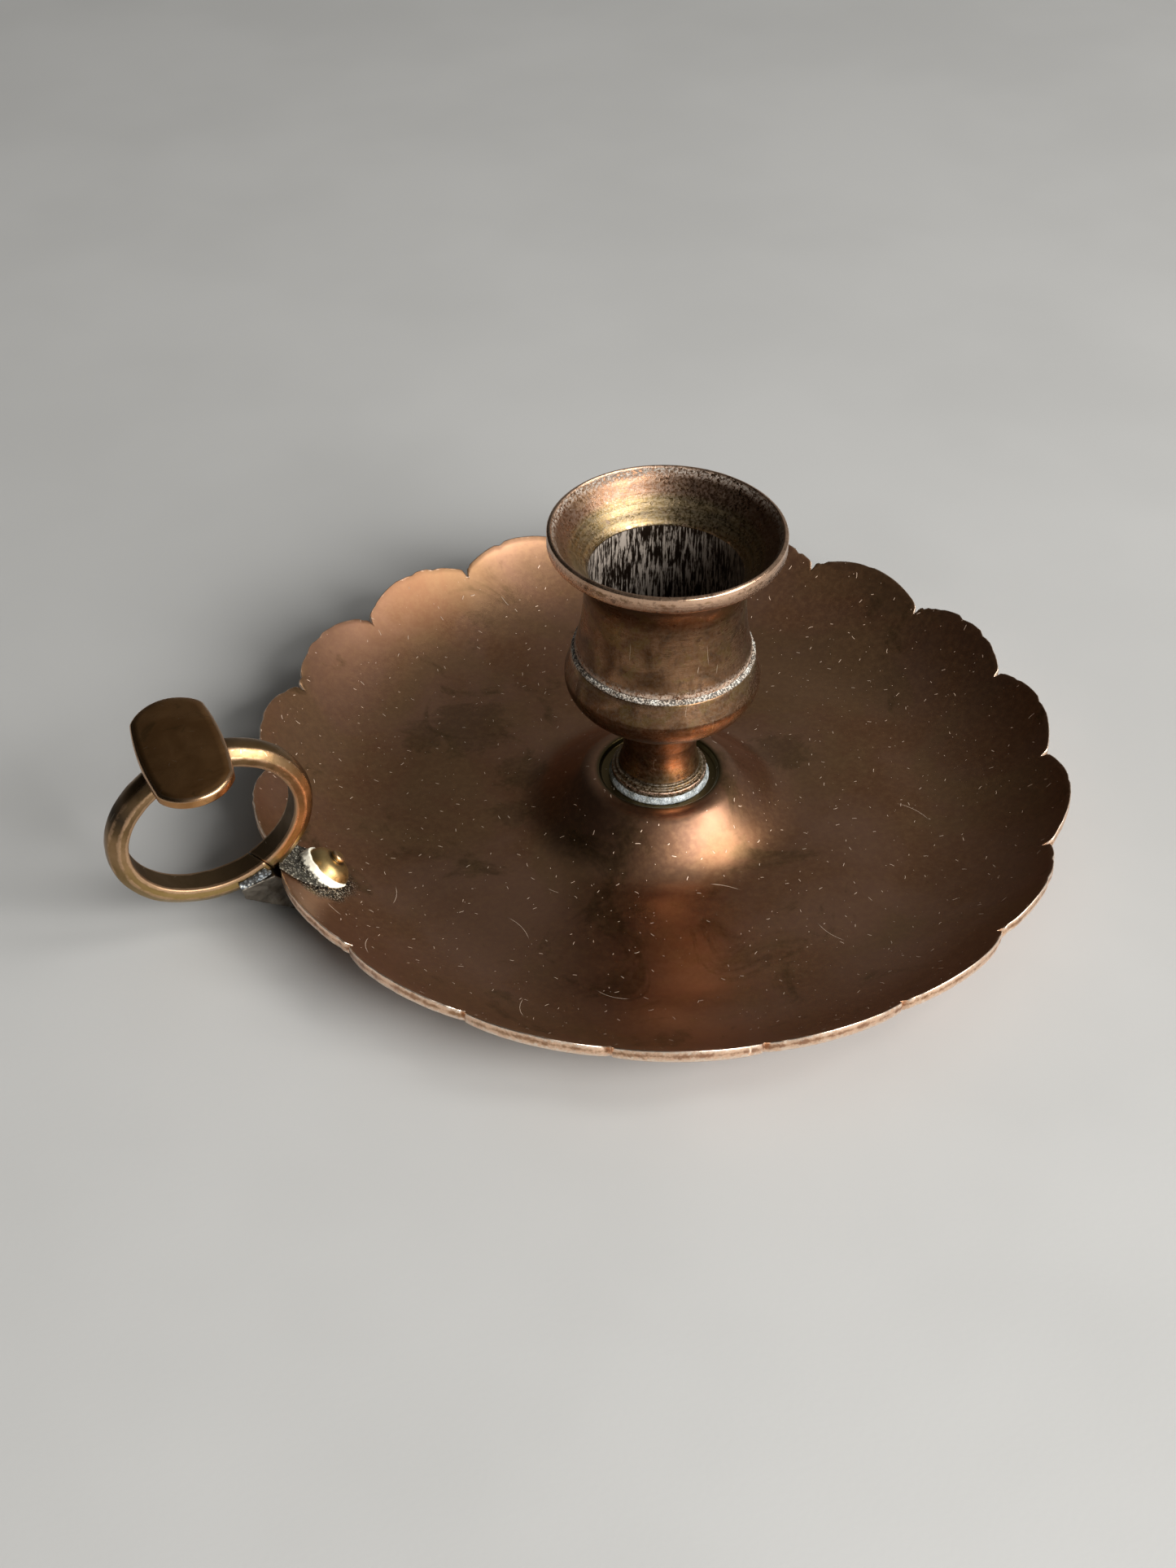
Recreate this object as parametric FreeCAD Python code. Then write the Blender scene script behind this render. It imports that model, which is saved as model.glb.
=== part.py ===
import FreeCAD, Part

import math
import os

from FreeCAD import Rotation, Vector

# Chamberstick: a scalloped brass drip pan, a turned candle socket on a short
# stem, and a finger ring with a thumb plate. Millimetres. The origin is on the
# table under the middle of the pan, +Z is up, and the handle is along -X.

# Drip pan: one spun sheet
PAN_D = 127.0            # across the tips of the lobes
SHEET_T = 1.5
WALL_W = 23.5            # plan width of the wall, from the flat floor to the tips
RIM_ANGLE = 50.0         # slope of the wall at the tips of the lobes
RIM_SPARE = 8.0          # the wall is turned this much further, then trimmed
LOBES = 18
LOBE_RISE = 2.2          # radius of a tip less radius of a notch
NICK_R = 0.45            # file nick at the root of each notch

# Boss that lifts the stem's seat off the floor
BOSS_R = 23.0            # where the boss meets the floor
BOSS_H = 6.9             # above the floor
BOSS_CROWN_R = 4.0
BOSS_BEND = 0.828        # share of the boss's side that is bent, 1 leaves no straight
SEAT_R = 9.4             # recess that the stem's foot stands in
SEAT_DEPTH = 0.9
SEAT_DRAFT = 0.3         # the recess is this much smaller at its floor
SEAT_LAND = 0.6          # flat ring between the recess and the crown

# Stem and bowl: one turned piece, heights above the seat
FOOT_R = 7.4
FOOT_T = 2.0
FOOT_STEP = 0.55         # small turned steps above the foot
NECK_R = 6.0
NECK_H = 8.6
NECK_WAIST = 0.52        # hollow of the neck's outline
BOWL_WALL = 3.45         # bore to the bowl's widest place
BOWL_DEPTH = 7.9         # from the widest place down to the bowl's pole
BOWL_H = 20.2            # height of the widest place
BOWL_BAND = 0.5          # straight band above the widest place
BOWL_FLOOR = 4.6         # brass under the candle
TENON_R = 3.0
TENON_L = 5.6            # below the seat

# Candle socket: turned sleeve that drops into the bowl. Walls are outside the bore.
BORE_D = 22.8            # for a 22 mm candle
SPIGOT_WALL = 1.2
SHOULDER_RISE = 4.8      # bowl's widest place to the sleeve's shoulder
SHOULDER_WALL = 2.0
BODY_HOLLOW = 0.35       # hollow of the outline between shoulder and waist
WAIST_WALL = 0.6
WAIST_DROP = 9.8         # lip's top down to the waist
NECK_HOLLOW = 1.15       # hollow of the outline between waist and lip
SLEEVE_H = 20.9          # shoulder to the lip's top
LIP_WALL = 6.05
LIP_BAND = 2.8
LIP_EDGE = 0.55          # width of the lip's top edge
LIP_BEVEL = 0.3
LIP_UNDERCUT = 0.9       # the lip's underside starts this far inside its rim
FUNNEL_DEPTH = 7.0       # lip down to the bore
FUNNEL_CROWN = 0.35      # hollow of the funnel's outline
THROAT_WALL = 1.5        # where the funnel turns into the bevel
THROAT_DEPTH = 5.3

# Fasteners under the boss
WASHER_R = 6.4
WASHER_T = 0.9
NUT_ACROSS = 9.5
NUT_CORNER_R = 6.2
NUT_T = 2.6

# Finger ring: an oval of four arcs bent from one bar
RING_HALF_LONG = 12.35   # inside
RING_HALF_SHORT = 10.7   # inside
RING_END_R = 9.6         # inside radius at the ends of the long axis
RING_T = 3.1
RING_W = 4.5
RING_FLAT_W = 4.0        # width of the inner face
RING_CROWN_W = 2.8       # width of the outer crown
RING_CROWN = 0.3         # rise of the outer crown
RING_DROP = 17.2         # long axis falls outwards by this angle
RING_RISE = 51.5         # direction from the notch up to the ring
SEAM_W = 0.25            # saw-thin gap where the bar's ends meet
SEAM_TURN = 8.0          # from the notch towards the ring's lower end
SEAM_SLANT = 25.0

# Thumb plate
PLATE_L = 23.3
PLATE_W = 12.2
PLATE_T = 1.9
PLATE_EDGE_R = 0.55
PLATE_FALL = 5.9         # degrees, falling outwards
PLATE_SHIFT = 1.65       # outwards along the plate, from the ring's top
PLATE_LAND = 0.65        # depth of the flat filed on the ring

# Bracket and rivet
BRACKET_W = 6.0
BRACKET_T = 2.2          # under the pan at the rivet
BRACKET_TAIL = 3.6       # from the rivet's axis to the bracket's inner end
BRACKET_KNEE = 1.8       # from the notch inwards, where the underside turns up
BRACKET_SWEEP = 25.0     # how far it follows the ring, from the notch
BRACKET_LIP = 0.5        # its thickness under the ring at the tip
RIVET_INSET = 6.4        # from the notch inwards
RIVET_R = 1.8
RIVET_HEAD_R = 4.0
RIVET_HEAD_H = 2.9
RIVET_LEAN = 18.0        # past the wall's own slope, towards the stem
RIVET_REACH = 12.0       # longer than the rivet, for cutting
NUB_R = 1.15
NUB_H = 0.7

# Solder and fits
FIT = 0.05               # radial clearance of turned fits and rivet holes
RING_GAP = 0.2           # ring's crown to the notch, filled with solder
STEM_SOLDER_W = 0.5
STEM_SOLDER_H = 1.5
BOWL_SOLDER_W = 0.45     # width of the ledge that it fills
BOWL_SOLDER_H = 0.8
BEAD_R = 0.75            # ring's beads
BEAD_SINK = 0.1          # bead's centre below the ring's side ridge
BEAD_SWEEP = 20.0        # along the ring
PLATE_SOLDER_H = 1.6
RIVET_SOLDER_W = 0.6     # collar's width outside the head
RIVET_SOLDER_H = 1.0     # collar's top above the sheet, along the rivet
RIM_SOLDER_T = 0.3
RIM_SOLDER_L = 12.5
RIM_SOLDER_W = 9.5
RIM_SOLDER_START = 5.0   # degrees up the wall

UP = Vector(0, 0, 1)
ACROSS = Vector(0, 1, 0)
ORIGIN = Vector(0, 0, 0)
PAN_R = PAN_D / 2
FLOOR_R = PAN_R - WALL_W
NOTCH_R = PAN_R - LOBE_RISE
WALL_R = WALL_W / math.sin(math.radians(RIM_ANGLE))
BOSS_RUN = BOSS_R - SEAT_R - SEAT_LAND
BOSS_FLARE_R = BOSS_BEND * (BOSS_RUN ** 2 + BOSS_H ** 2) / (2 * BOSS_H) - BOSS_CROWN_R
BORE_R = BORE_D / 2
SHOULDER_R = BORE_R + SHOULDER_WALL
BOWL_R = BORE_R + BOWL_WALL
WAIST_R = BORE_R + WAIST_WALL
LIP_R = BORE_R + LIP_WALL
THROAT_R = BORE_R + THROAT_WALL
SHOULDER_H = BOWL_H + SHOULDER_RISE
SOCKET_H = SHOULDER_H + SLEEVE_H


# ---------------------------------------------------------------- helpers

def rz(r, z):
    """Point of a profile, at radius r and height z."""
    return Vector(r, 0, z)


def line(a, b):
    return Part.LineSegment(a, b).toShape()


def arc(a, mid, b):
    return Part.Arc(a, mid, b).toShape()


def arc_about(centre, radius, start, end):
    """Arc in the XZ plane. Angles in degrees, from +X towards +Z."""
    points = []
    for angle in (start, (start + end) / 2, end):
        turn = math.radians(angle)
        points.append(centre + rz(radius * math.cos(turn), radius * math.sin(turn)))
    return arc(*points)


def bulge(a, b, rise):
    """Arc from a to b that stands off the chord by rise, to its left."""
    along = b - a
    left = Vector(-along.z, 0, along.x).normalize()
    return arc(a, (a + b) / 2 + left * rise, b)


def face(edges):
    """Face inside edges, closed with a straight edge if they leave it open."""
    wire = Part.Wire(Part.__sortEdges__(edges))
    if not wire.isClosed():
        ends = [wire.OrderedVertexes[0].Point, wire.OrderedVertexes[-1].Point]
        wire = Part.Wire(Part.__sortEdges__(edges + [line(*ends)]))
    return Part.Face(wire)


def polygon(points):
    return Part.Face(Part.makePolygon(points + [points[0]]))


def turned(profile):
    """Solid of revolution about the stem's axis."""
    return profile.revolve(ORIGIN, UP, 360)


def post(radius, low, high):
    return Part.makeCylinder(radius, high - low, rz(0, low))


def solid_of(shape):
    """The one solid in a result, or a group where it has several."""
    return shape.Solids[0] if len(shape.Solids) == 1 else Part.makeCompound(shape.Solids)


# -------------------------------------------------------- drip pan's surface

def wall_angle(radius):
    """Slope of the pan's upper face at a radius outside the floor, in degrees."""
    return math.degrees(math.asin((radius - FLOOR_R) / WALL_R))


def wall_point(radius):
    """Point of the pan's upper face at a radius outside the floor."""
    return rz(radius, SHEET_T + WALL_R * (1 - math.cos(math.radians(wall_angle(radius)))))


BOSS_Z = SHEET_T + BOSS_H
SEAT_Z = BOSS_Z - SEAT_DEPTH
NOTCH = wall_point(NOTCH_R)
RIVET_FOOT = wall_point(NOTCH_R - RIVET_INSET)
WALL_CENTRE = rz(FLOOR_R, SHEET_T + WALL_R)
WALL_TOP_ANGLE = RIM_ANGLE + RIM_SPARE


def boss_tangent():
    """Slope of the straight run between the crown and the flare, in degrees."""
    bends = BOSS_FLARE_R + BOSS_CROWN_R
    straight = math.sqrt(BOSS_RUN ** 2 + (BOSS_H - bends) ** 2 - bends ** 2)
    slope = math.atan2(BOSS_H - bends, BOSS_RUN) + math.atan2(bends, straight)
    return math.degrees(slope)


def sheet_side(depth):
    """Edges of one face of the sheet from the recess outwards. depth is how far
    the face lies under the upper one: 0 or the sheet's thickness."""
    slope = boss_tangent()
    land = SEAT_R + SEAT_LAND
    crown = arc_about(rz(land, BOSS_Z - BOSS_CROWN_R), BOSS_CROWN_R - depth, 90, 90 - slope)
    flare_centre = rz(BOSS_R, SHEET_T + BOSS_FLARE_R)
    flare = arc_about(flare_centre, BOSS_FLARE_R + depth, 270 - slope, 270)
    wall = arc_about(WALL_CENTRE, WALL_R + depth, 270, 270 + WALL_TOP_ANGLE)
    step = line(rz(SEAT_R - SEAT_DRAFT, SEAT_Z - depth), rz(SEAT_R, BOSS_Z - depth))
    seat = line(rz(TENON_R + FIT, SEAT_Z - depth), rz(SEAT_R - SEAT_DRAFT, SEAT_Z - depth))
    top = line(rz(SEAT_R, BOSS_Z - depth), rz(land, BOSS_Z - depth))
    cone = line(end_of(crown), start_of(flare))
    floor = line(end_of(flare), start_of(wall))
    return [seat, step, top, crown, cone, flare, floor, wall]


def start_of(edge):
    return edge.valueAt(edge.FirstParameter)


def end_of(edge):
    return edge.valueAt(edge.LastParameter)


def scallop_outline():
    """Plan of the rim: one arc for each lobe, from notch to notch."""
    step = 2 * math.pi / LOBES
    edges = []
    for lobe in range(LOBES):
        start = math.pi + lobe * step
        points = []
        for radius, turn in ((NOTCH_R, start), (PAN_R, start + step / 2), (NOTCH_R, start + step)):
            points.append(Vector(radius * math.cos(turn), radius * math.sin(turn), 0))
        edges.append(arc(*points))
    return Part.Wire(edges)


def make_drip_pan():
    upper = sheet_side(0)
    lower = sheet_side(SHEET_T)
    ends = [line(start_of(upper[0]), start_of(lower[0])), line(end_of(upper[-1]), end_of(lower[-1]))]
    sheet = turned(face(upper + lower + ends))
    height = 2 * PAN_R
    trim = Part.Face(scallop_outline()).extrude(UP * height)
    pan = sheet.common(trim)
    for notch in range(LOBES):
        turn = math.pi + notch * 2 * math.pi / LOBES
        root = Vector(NOTCH_R * math.cos(turn), NOTCH_R * math.sin(turn), 0)
        pan = pan.cut(Part.makeCylinder(NICK_R, height, root))
    return pan.cut(rivet_post(RIVET_R + FIT))


def above_pan():
    """Everything above the sheet's lower face near the wall."""
    lower = sheet_side(SHEET_T)[-2:]
    top = 3 * PAN_R
    rim = end_of(lower[-1])
    corners = [rim, rz(rim.x, top), rz(start_of(lower[0]).x, top), start_of(lower[0])]
    sides = [line(a, b) for a, b in zip(corners, corners[1:])]
    return turned(face(lower + sides))


def below_pan():
    """Everything below the sheet's upper face near the wall."""
    upper = sheet_side(0)[-2:]
    rim = end_of(upper[-1])
    corners = [rim, rz(rim.x, -PAN_R), rz(start_of(upper[0]).x, -PAN_R), start_of(upper[0])]
    sides = [line(a, b) for a, b in zip(corners, corners[1:])]
    return turned(face(upper + sides))


# ------------------------------------------------------------ stem and socket

def make_stem_bowl():
    """Foot, stem, bowl and the tenon that goes through the pan."""
    base = SEAT_Z
    widest = base + BOWL_H
    rim_z = base + SHOULDER_H
    pocket_r = BORE_R + SPIGOT_WALL + FIT
    foot_top = base + FOOT_T
    steps = foot_top + 2 * FOOT_STEP
    step_r = FOOT_R - 2 * FOOT_STEP
    under_r = NECK_R + FOOT_STEP
    under_z = widest - BOWL_DEPTH * math.sqrt(1 - (under_r / BOWL_R) ** 2)
    ellipse = Part.Ellipse(rz(BOWL_R, widest), rz(0, widest - BOWL_DEPTH), rz(0, widest))
    turn = math.acos(under_r / BOWL_R)
    belly = Part.ArcOfEllipse(ellipse, 0, turn).toShape()
    band_top = widest + BOWL_BAND
    ledge_r = SHOULDER_R + BOWL_SOLDER_W
    pocket_z = widest - BOWL_DEPTH + BOWL_FLOOR
    tenon_z = base - TENON_L
    neck = rz(NECK_R, base + NECK_H)
    edges = [
        line(rz(0, tenon_z), rz(TENON_R, tenon_z)),
        line(rz(TENON_R, tenon_z), rz(TENON_R, base)),
        line(rz(TENON_R, base), rz(FOOT_R, base)),
        line(rz(FOOT_R, base), rz(FOOT_R, foot_top)),
        line(rz(FOOT_R, foot_top), rz(FOOT_R - FOOT_STEP, foot_top)),
        line(rz(FOOT_R - FOOT_STEP, foot_top), rz(FOOT_R - FOOT_STEP, foot_top + FOOT_STEP)),
        line(rz(FOOT_R - FOOT_STEP, foot_top + FOOT_STEP), rz(step_r, foot_top + FOOT_STEP)),
        line(rz(step_r, foot_top + FOOT_STEP), rz(step_r, steps)),
        bulge(rz(step_r, steps), neck, NECK_WAIST),
        line(neck, rz(under_r, under_z)),
        belly,
        line(rz(BOWL_R, widest), rz(BOWL_R, band_top)),
        line(rz(BOWL_R, band_top), rz(ledge_r, rim_z - BOWL_SOLDER_H)),
        line(rz(ledge_r, rim_z - BOWL_SOLDER_H), rz(SHOULDER_R, rim_z - BOWL_SOLDER_H / 2)),
        line(rz(SHOULDER_R, rim_z - BOWL_SOLDER_H / 2), rz(SHOULDER_R, rim_z)),
        line(rz(SHOULDER_R, rim_z), rz(pocket_r, rim_z)),
        line(rz(pocket_r, rim_z), rz(pocket_r, pocket_z)),
        line(rz(pocket_r, pocket_z), rz(0, pocket_z)),
    ]
    return turned(face(edges)), pocket_z


def make_candle_socket(pocket_z):
    """Sleeve with the candle's bore, its funnel and the lip."""
    shoulder = SEAT_Z + SHOULDER_H
    lip = SEAT_Z + SOCKET_H
    waist = lip - WAIST_DROP
    spigot_r = BORE_R + SPIGOT_WALL
    spigot_z = pocket_z + FIT
    band_low = lip - LIP_BAND
    under = rz(LIP_R - LIP_UNDERCUT, band_low - LIP_BEVEL)
    rim_low = rz(LIP_R, band_low + LIP_BEVEL)
    rim_high = rz(LIP_R, lip - LIP_BEVEL)
    rim_in = rz(LIP_R - LIP_EDGE, lip)
    throat = rz(THROAT_R, lip - THROAT_DEPTH)
    mouth = rz(BORE_R, lip - FUNNEL_DEPTH)
    edges = [
        line(rz(BORE_R, spigot_z), rz(spigot_r, spigot_z)),
        line(rz(spigot_r, spigot_z), rz(spigot_r, shoulder)),
        line(rz(spigot_r, shoulder), rz(SHOULDER_R, shoulder)),
        bulge(rz(SHOULDER_R, shoulder), rz(WAIST_R, waist), BODY_HOLLOW),
        bulge(rz(WAIST_R, waist), under, NECK_HOLLOW),
        line(under, rim_low),
        line(rim_low, rim_high),
        line(rim_high, rim_in),
        bulge(rim_in, throat, FUNNEL_CROWN),
        line(throat, mouth),
        line(mouth, rz(BORE_R, spigot_z)),
    ]
    return turned(face(edges))


def make_socket_solder():
    """Rough fillet that fills the ledge between the bowl and the sleeve."""
    shoulder = SEAT_Z + SHOULDER_H
    low = shoulder - BOWL_SOLDER_H
    points = [
        rz(SHOULDER_R, low + BOWL_SOLDER_H / 2),
        rz(SHOULDER_R + BOWL_SOLDER_W, low),
        rz(SHOULDER_R + BOWL_SOLDER_W, low + BOWL_SOLDER_H / 2),
        rz(SHOULDER_R, shoulder),
    ]
    return turned(polygon(points))


def make_stem_solder():
    """Fillet of solder round the foot, in the recess."""
    points = [
        rz(FOOT_R, SEAT_Z),
        rz(FOOT_R + STEM_SOLDER_W, SEAT_Z),
        rz(FOOT_R + STEM_SOLDER_W, SEAT_Z + STEM_SOLDER_H / 3),
        rz(FOOT_R, SEAT_Z + STEM_SOLDER_H),
    ]
    return turned(polygon(points))


def make_stem_washer():
    top = SEAT_Z - SHEET_T
    return post(WASHER_R, top - WASHER_T, top).cut(post(TENON_R + FIT, top - WASHER_T, top))


def make_stem_nut():
    """Square nut on the tenon, with its corners turned off."""
    top = SEAT_Z - SHEET_T - WASHER_T
    half = NUT_ACROSS / 2
    block = Part.makeBox(NUT_ACROSS, NUT_ACROSS, NUT_T, Vector(-half, -half, top - NUT_T))
    corners = post(NUT_CORNER_R, top - NUT_T, top)
    return block.common(corners).cut(post(TENON_R + FIT, top - NUT_T, top))


# -------------------------------------------------------------------- handle
# The handle lies in the XZ plane. Its outward direction is -X.

def outward(distance, height):
    return Vector(-distance, 0, height)


LONG = outward(math.cos(math.radians(RING_DROP)), -math.sin(math.radians(RING_DROP)))
SHORT = outward(math.sin(math.radians(RING_DROP)), math.cos(math.radians(RING_DROP)))
RING_SIDE_R = ((RING_HALF_LONG - RING_END_R) ** 2 + RING_HALF_SHORT ** 2 - RING_END_R ** 2) / (
    2 * (RING_HALF_SHORT - RING_END_R))
SIDE_OFFSET = RING_SIDE_R - RING_HALF_SHORT
END_OFFSET = RING_HALF_LONG - RING_END_R
END_SPAN = 2 * math.degrees(math.atan2(SIDE_OFFSET, END_OFFSET))
SIDE_SPAN = 180 - END_SPAN
RISE = outward(math.cos(math.radians(RING_RISE)), math.sin(math.radians(RING_RISE)))
LOW_SIDE_CENTRE = outward(NOTCH.x, NOTCH.z) + RISE * (RING_SIDE_R + RING_T + RING_GAP)
RING_CENTRE = LOW_SIDE_CENTRE - SHORT * SIDE_OFFSET
TOP_SIDE_CENTRE = RING_CENTRE - SHORT * SIDE_OFFSET


def ring_section(centre, radius, start):
    """Bar's section at direction start from an arc's centre: a flat inner face,
    a ridge on each side and a crowned outer face."""
    def at(rise, across):
        return centre + start * (radius + rise) + Vector(0, across, 0)
    ridge = RING_T / 2
    shoulder = RING_T - RING_CROWN
    corners = [
        at(0, -RING_FLAT_W / 2),
        at(0, RING_FLAT_W / 2),
        at(ridge, RING_W / 2),
        at(shoulder, RING_CROWN_W / 2),
    ]
    last = [at(shoulder, -RING_CROWN_W / 2), at(ridge, -RING_W / 2), corners[0]]
    edges = [line(a, b) for a, b in zip(corners, corners[1:])]
    edges.append(arc(corners[-1], at(RING_T, 0), last[0]))
    edges += [line(a, b) for a, b in zip(last, last[1:])]
    return face(edges)


def ring_arc(centre, radius, middle, span, section=ring_section):
    """Bar bent about a centre through span degrees, centred on direction middle."""
    start = Rotation(ACROSS, -span / 2).multVec(middle)
    return section(centre, radius, start).revolve(centre, ACROSS, span)


def make_bar_loop():
    """Closed oval loop, before the seam and the flat for the plate."""
    ends = [ring_arc(RING_CENTRE + LONG * END_OFFSET * side, RING_END_R, LONG * side, END_SPAN)
            for side in (1, -1)]
    sides = [ring_arc(RING_CENTRE - SHORT * SIDE_OFFSET * side, RING_SIDE_R, SHORT * side, SIDE_SPAN)
             for side in (1, -1)]
    return ends[0].multiFuse([ends[1]] + sides).removeSplitter()


def make_seam():
    """Thin slanting slot through the bar, on the side of the pan."""
    towards = Rotation(ACROSS, SEAM_TURN).multVec(RISE * -1)
    middle = LOW_SIDE_CENTRE + towards * (RING_SIDE_R + RING_T / 2)
    slot = Part.makeBox(SEAM_W, 3 * RING_W, 2 * RING_T, Vector(-SEAM_W / 2, -1.5 * RING_W, -RING_T))
    slot.Placement = FreeCAD.Placement(middle, Rotation(UP, towards).multiply(Rotation(UP, SEAM_SLANT)))
    return slot


def make_thumb_plate():
    """Round-ended plate lying across the top of the ring."""
    fall = math.radians(PLATE_FALL)
    normal = outward(math.sin(fall), math.cos(fall))
    along = outward(math.cos(fall), -math.sin(fall))
    top_of_ring = TOP_SIDE_CENTRE + normal * (RING_SIDE_R + RING_T)
    under = top_of_ring - normal * PLATE_LAND + along * PLATE_SHIFT
    half_w = PLATE_W / 2
    half_l = PLATE_L / 2 - half_w
    a, b = Vector(half_w, half_l, 0), Vector(-half_w, half_l, 0)
    c, d = Vector(-half_w, -half_l, 0), Vector(half_w, -half_l, 0)
    tip = Vector(0, PLATE_L / 2, 0)
    outline = Part.Wire([arc(a, tip, b), line(b, c), arc(c, tip * -1, d), line(d, a)])
    plate = Part.Face(outline).extrude(UP * PLATE_T)
    plate = plate.makeFillet(PLATE_EDGE_R, plate.Faces[-1].Edges)
    plate.Placement = FreeCAD.Placement(under, Rotation(ACROSS, -PLATE_FALL))
    return plate, under


def make_plate_solder(plate, under, ring):
    """Wedge that fills the gap under the plate's outer half, where the ring falls away."""
    length = PLATE_W - 2 * PLATE_EDGE_R
    slab = Part.makeBox(length, RING_CROWN_W, PLATE_SOLDER_H,
                        Vector(-length / 2, -RING_CROWN_W / 2, -PLATE_SOLDER_H))
    slab.Placement = FreeCAD.Placement(under, Rotation(ACROSS, -PLATE_FALL))
    inside = Part.makeCylinder(RING_SIDE_R + RING_T / 2, 2 * RING_W,
                               TOP_SIDE_CENTRE - ACROSS * RING_W, ACROSS)
    pieces = slab.cut(ring).cut(plate).cut(inside).Solids
    return max(pieces, key=lambda piece: piece.Volume)


def rivet_axis():
    """Foot of the rivet on the pan and the direction of its head."""
    foot = outward(RIVET_FOOT.x, RIVET_FOOT.z)
    lean = math.radians(wall_angle(RIVET_FOOT.x) + RIVET_LEAN)
    return foot, Vector(math.sin(lean), 0, math.cos(lean))


def rivet_post(radius, below=RIVET_REACH, above=RIVET_REACH):
    """Cylinder along the rivet, from below its foot on the pan to above it."""
    foot, axis = rivet_axis()
    return Part.makeCylinder(radius, below + above, foot - axis * below, axis)


def make_bracket(ring):
    """Cast tongue that hugs the outside of the wall and cradles the ring."""
    foot, _ = rivet_axis()
    bottom = foot.z - SHEET_T / math.cos(math.radians(wall_angle(RIVET_FOOT.x))) - BRACKET_T
    inner = outward(RIVET_FOOT.x - BRACKET_TAIL, bottom)
    knee = outward(NOTCH_R - BRACKET_KNEE, bottom)
    along_ring = Rotation(ACROSS, BRACKET_SWEEP).multVec(RISE * -1)
    tip = LOW_SIDE_CENTRE + along_ring * (RING_SIDE_R + RING_T + BRACKET_LIP)
    in_bar = LOW_SIDE_CENTRE + along_ring * (RING_SIDE_R + RING_T / 2)
    notch = outward(NOTCH_R, NOTCH.z)
    above_inner = outward(RIVET_FOOT.x - BRACKET_TAIL, NOTCH.z)
    outline = polygon([inner, knee, tip, in_bar, notch, above_inner])
    slab = outline.extrude(ACROSS * BRACKET_W)
    slab.translate(ACROSS * (-BRACKET_W / 2))
    end_r = BRACKET_W / 2
    reach = Part.makeBox(PAN_R, BRACKET_W, PAN_R, Vector(inner.x - end_r - PAN_R, -end_r, 0))
    rounded = reach.fuse(Part.makeCylinder(end_r, PAN_R, Vector(inner.x - end_r, 0, 0)))
    tongue = slab.common(rounded).cut(above_pan()).cut(ring).cut(rivet_post(RIVET_R + FIT))
    return max(tongue.Solids, key=lambda piece: piece.Volume), bottom


def make_handle_rivet(bottom):
    """Domed head with a peened nub, and a shank ending flush under the bracket."""
    foot, axis = rivet_axis()
    dome_r = (RIVET_HEAD_R ** 2 + RIVET_HEAD_H ** 2) / (2 * RIVET_HEAD_H)
    ball = Part.makeSphere(dome_r, foot + axis * (RIVET_HEAD_H - dome_r))
    nub = rivet_post(NUB_R, 0, RIVET_HEAD_H + NUB_H)
    head = ball.common(rivet_post(RIVET_HEAD_R)).fuse(nub).cut(below_pan())
    under = Part.makeBox(PAN_D, PAN_D, PAN_D, Vector(-PAN_D, -PAN_R, bottom - PAN_D))
    shank = rivet_post(RIVET_R, RIVET_REACH, RIVET_HEAD_H / 4).cut(under)
    return head.fuse(shank).removeSplitter()


def make_rivet_solder(rivet):
    """Raised collar of solder round the head."""
    foot, axis = rivet_axis()
    low_r = RIVET_HEAD_R + RIVET_SOLDER_W + RIVET_SOLDER_H / 2
    depth = 2 * RIVET_SOLDER_H
    cone = Part.makeCone(low_r, RIVET_HEAD_R, depth + RIVET_SOLDER_H, foot - axis * depth, axis)
    collar = cone.cut(below_pan()).cut(rivet)
    return max(collar.Solids, key=lambda piece: piece.Volume)


def make_rim_solder(*neighbours):
    """Thin skin of solder on the wall, from the rivet out to the notch."""
    grow = FreeCAD.Matrix()
    grow.scale(Vector(RIM_SOLDER_L / 2, RIM_SOLDER_W / 2, 1))
    plan = Part.makeCylinder(1, PAN_R).transformGeometry(grow)
    plan.translate(outward(NOTCH_R - RIVET_INSET / 2, 0))
    faces = [arc_about(WALL_CENTRE, WALL_R - lift, 270 + RIM_SOLDER_START, 270 + WALL_TOP_ANGLE)
             for lift in (0, RIM_SOLDER_T)]
    ends = [line(at(faces[0]), at(faces[1])) for at in (start_of, end_of)]
    skin = turned(face(faces + ends)).common(plan)
    patch = skin.common(Part.Face(scallop_outline()).extrude(UP * PAN_R))
    for neighbour in neighbours:
        patch = patch.cut(neighbour)
    return max(patch.Solids, key=lambda piece: piece.Volume)


def make_ring_solder(ring, bracket):
    """Bead along each side of the ring where it lies in the bracket."""
    middle = Rotation(ACROSS, BRACKET_SWEEP - BEAD_SWEEP / 2).multVec(RISE * -1)
    beads = []
    for side in (-1, 1):
        def bead(centre, radius, start, side=side):
            place = centre + start * (radius + RING_T / 2 - BEAD_SINK) + ACROSS * (side * RING_W / 2)
            return Part.Face(Part.Wire(Part.makeCircle(BEAD_R, place, ACROSS.cross(start))))
        whole = ring_arc(LOW_SIDE_CENTRE, RING_SIDE_R, middle, BEAD_SWEEP, bead)
        pieces = whole.cut(ring).cut(bracket).cut(above_pan()).Solids
        beads.append(max(pieces, key=lambda piece: piece.Volume))
    return Part.makeCompound(beads)


# --------------------------------------------------------------------- build

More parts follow.
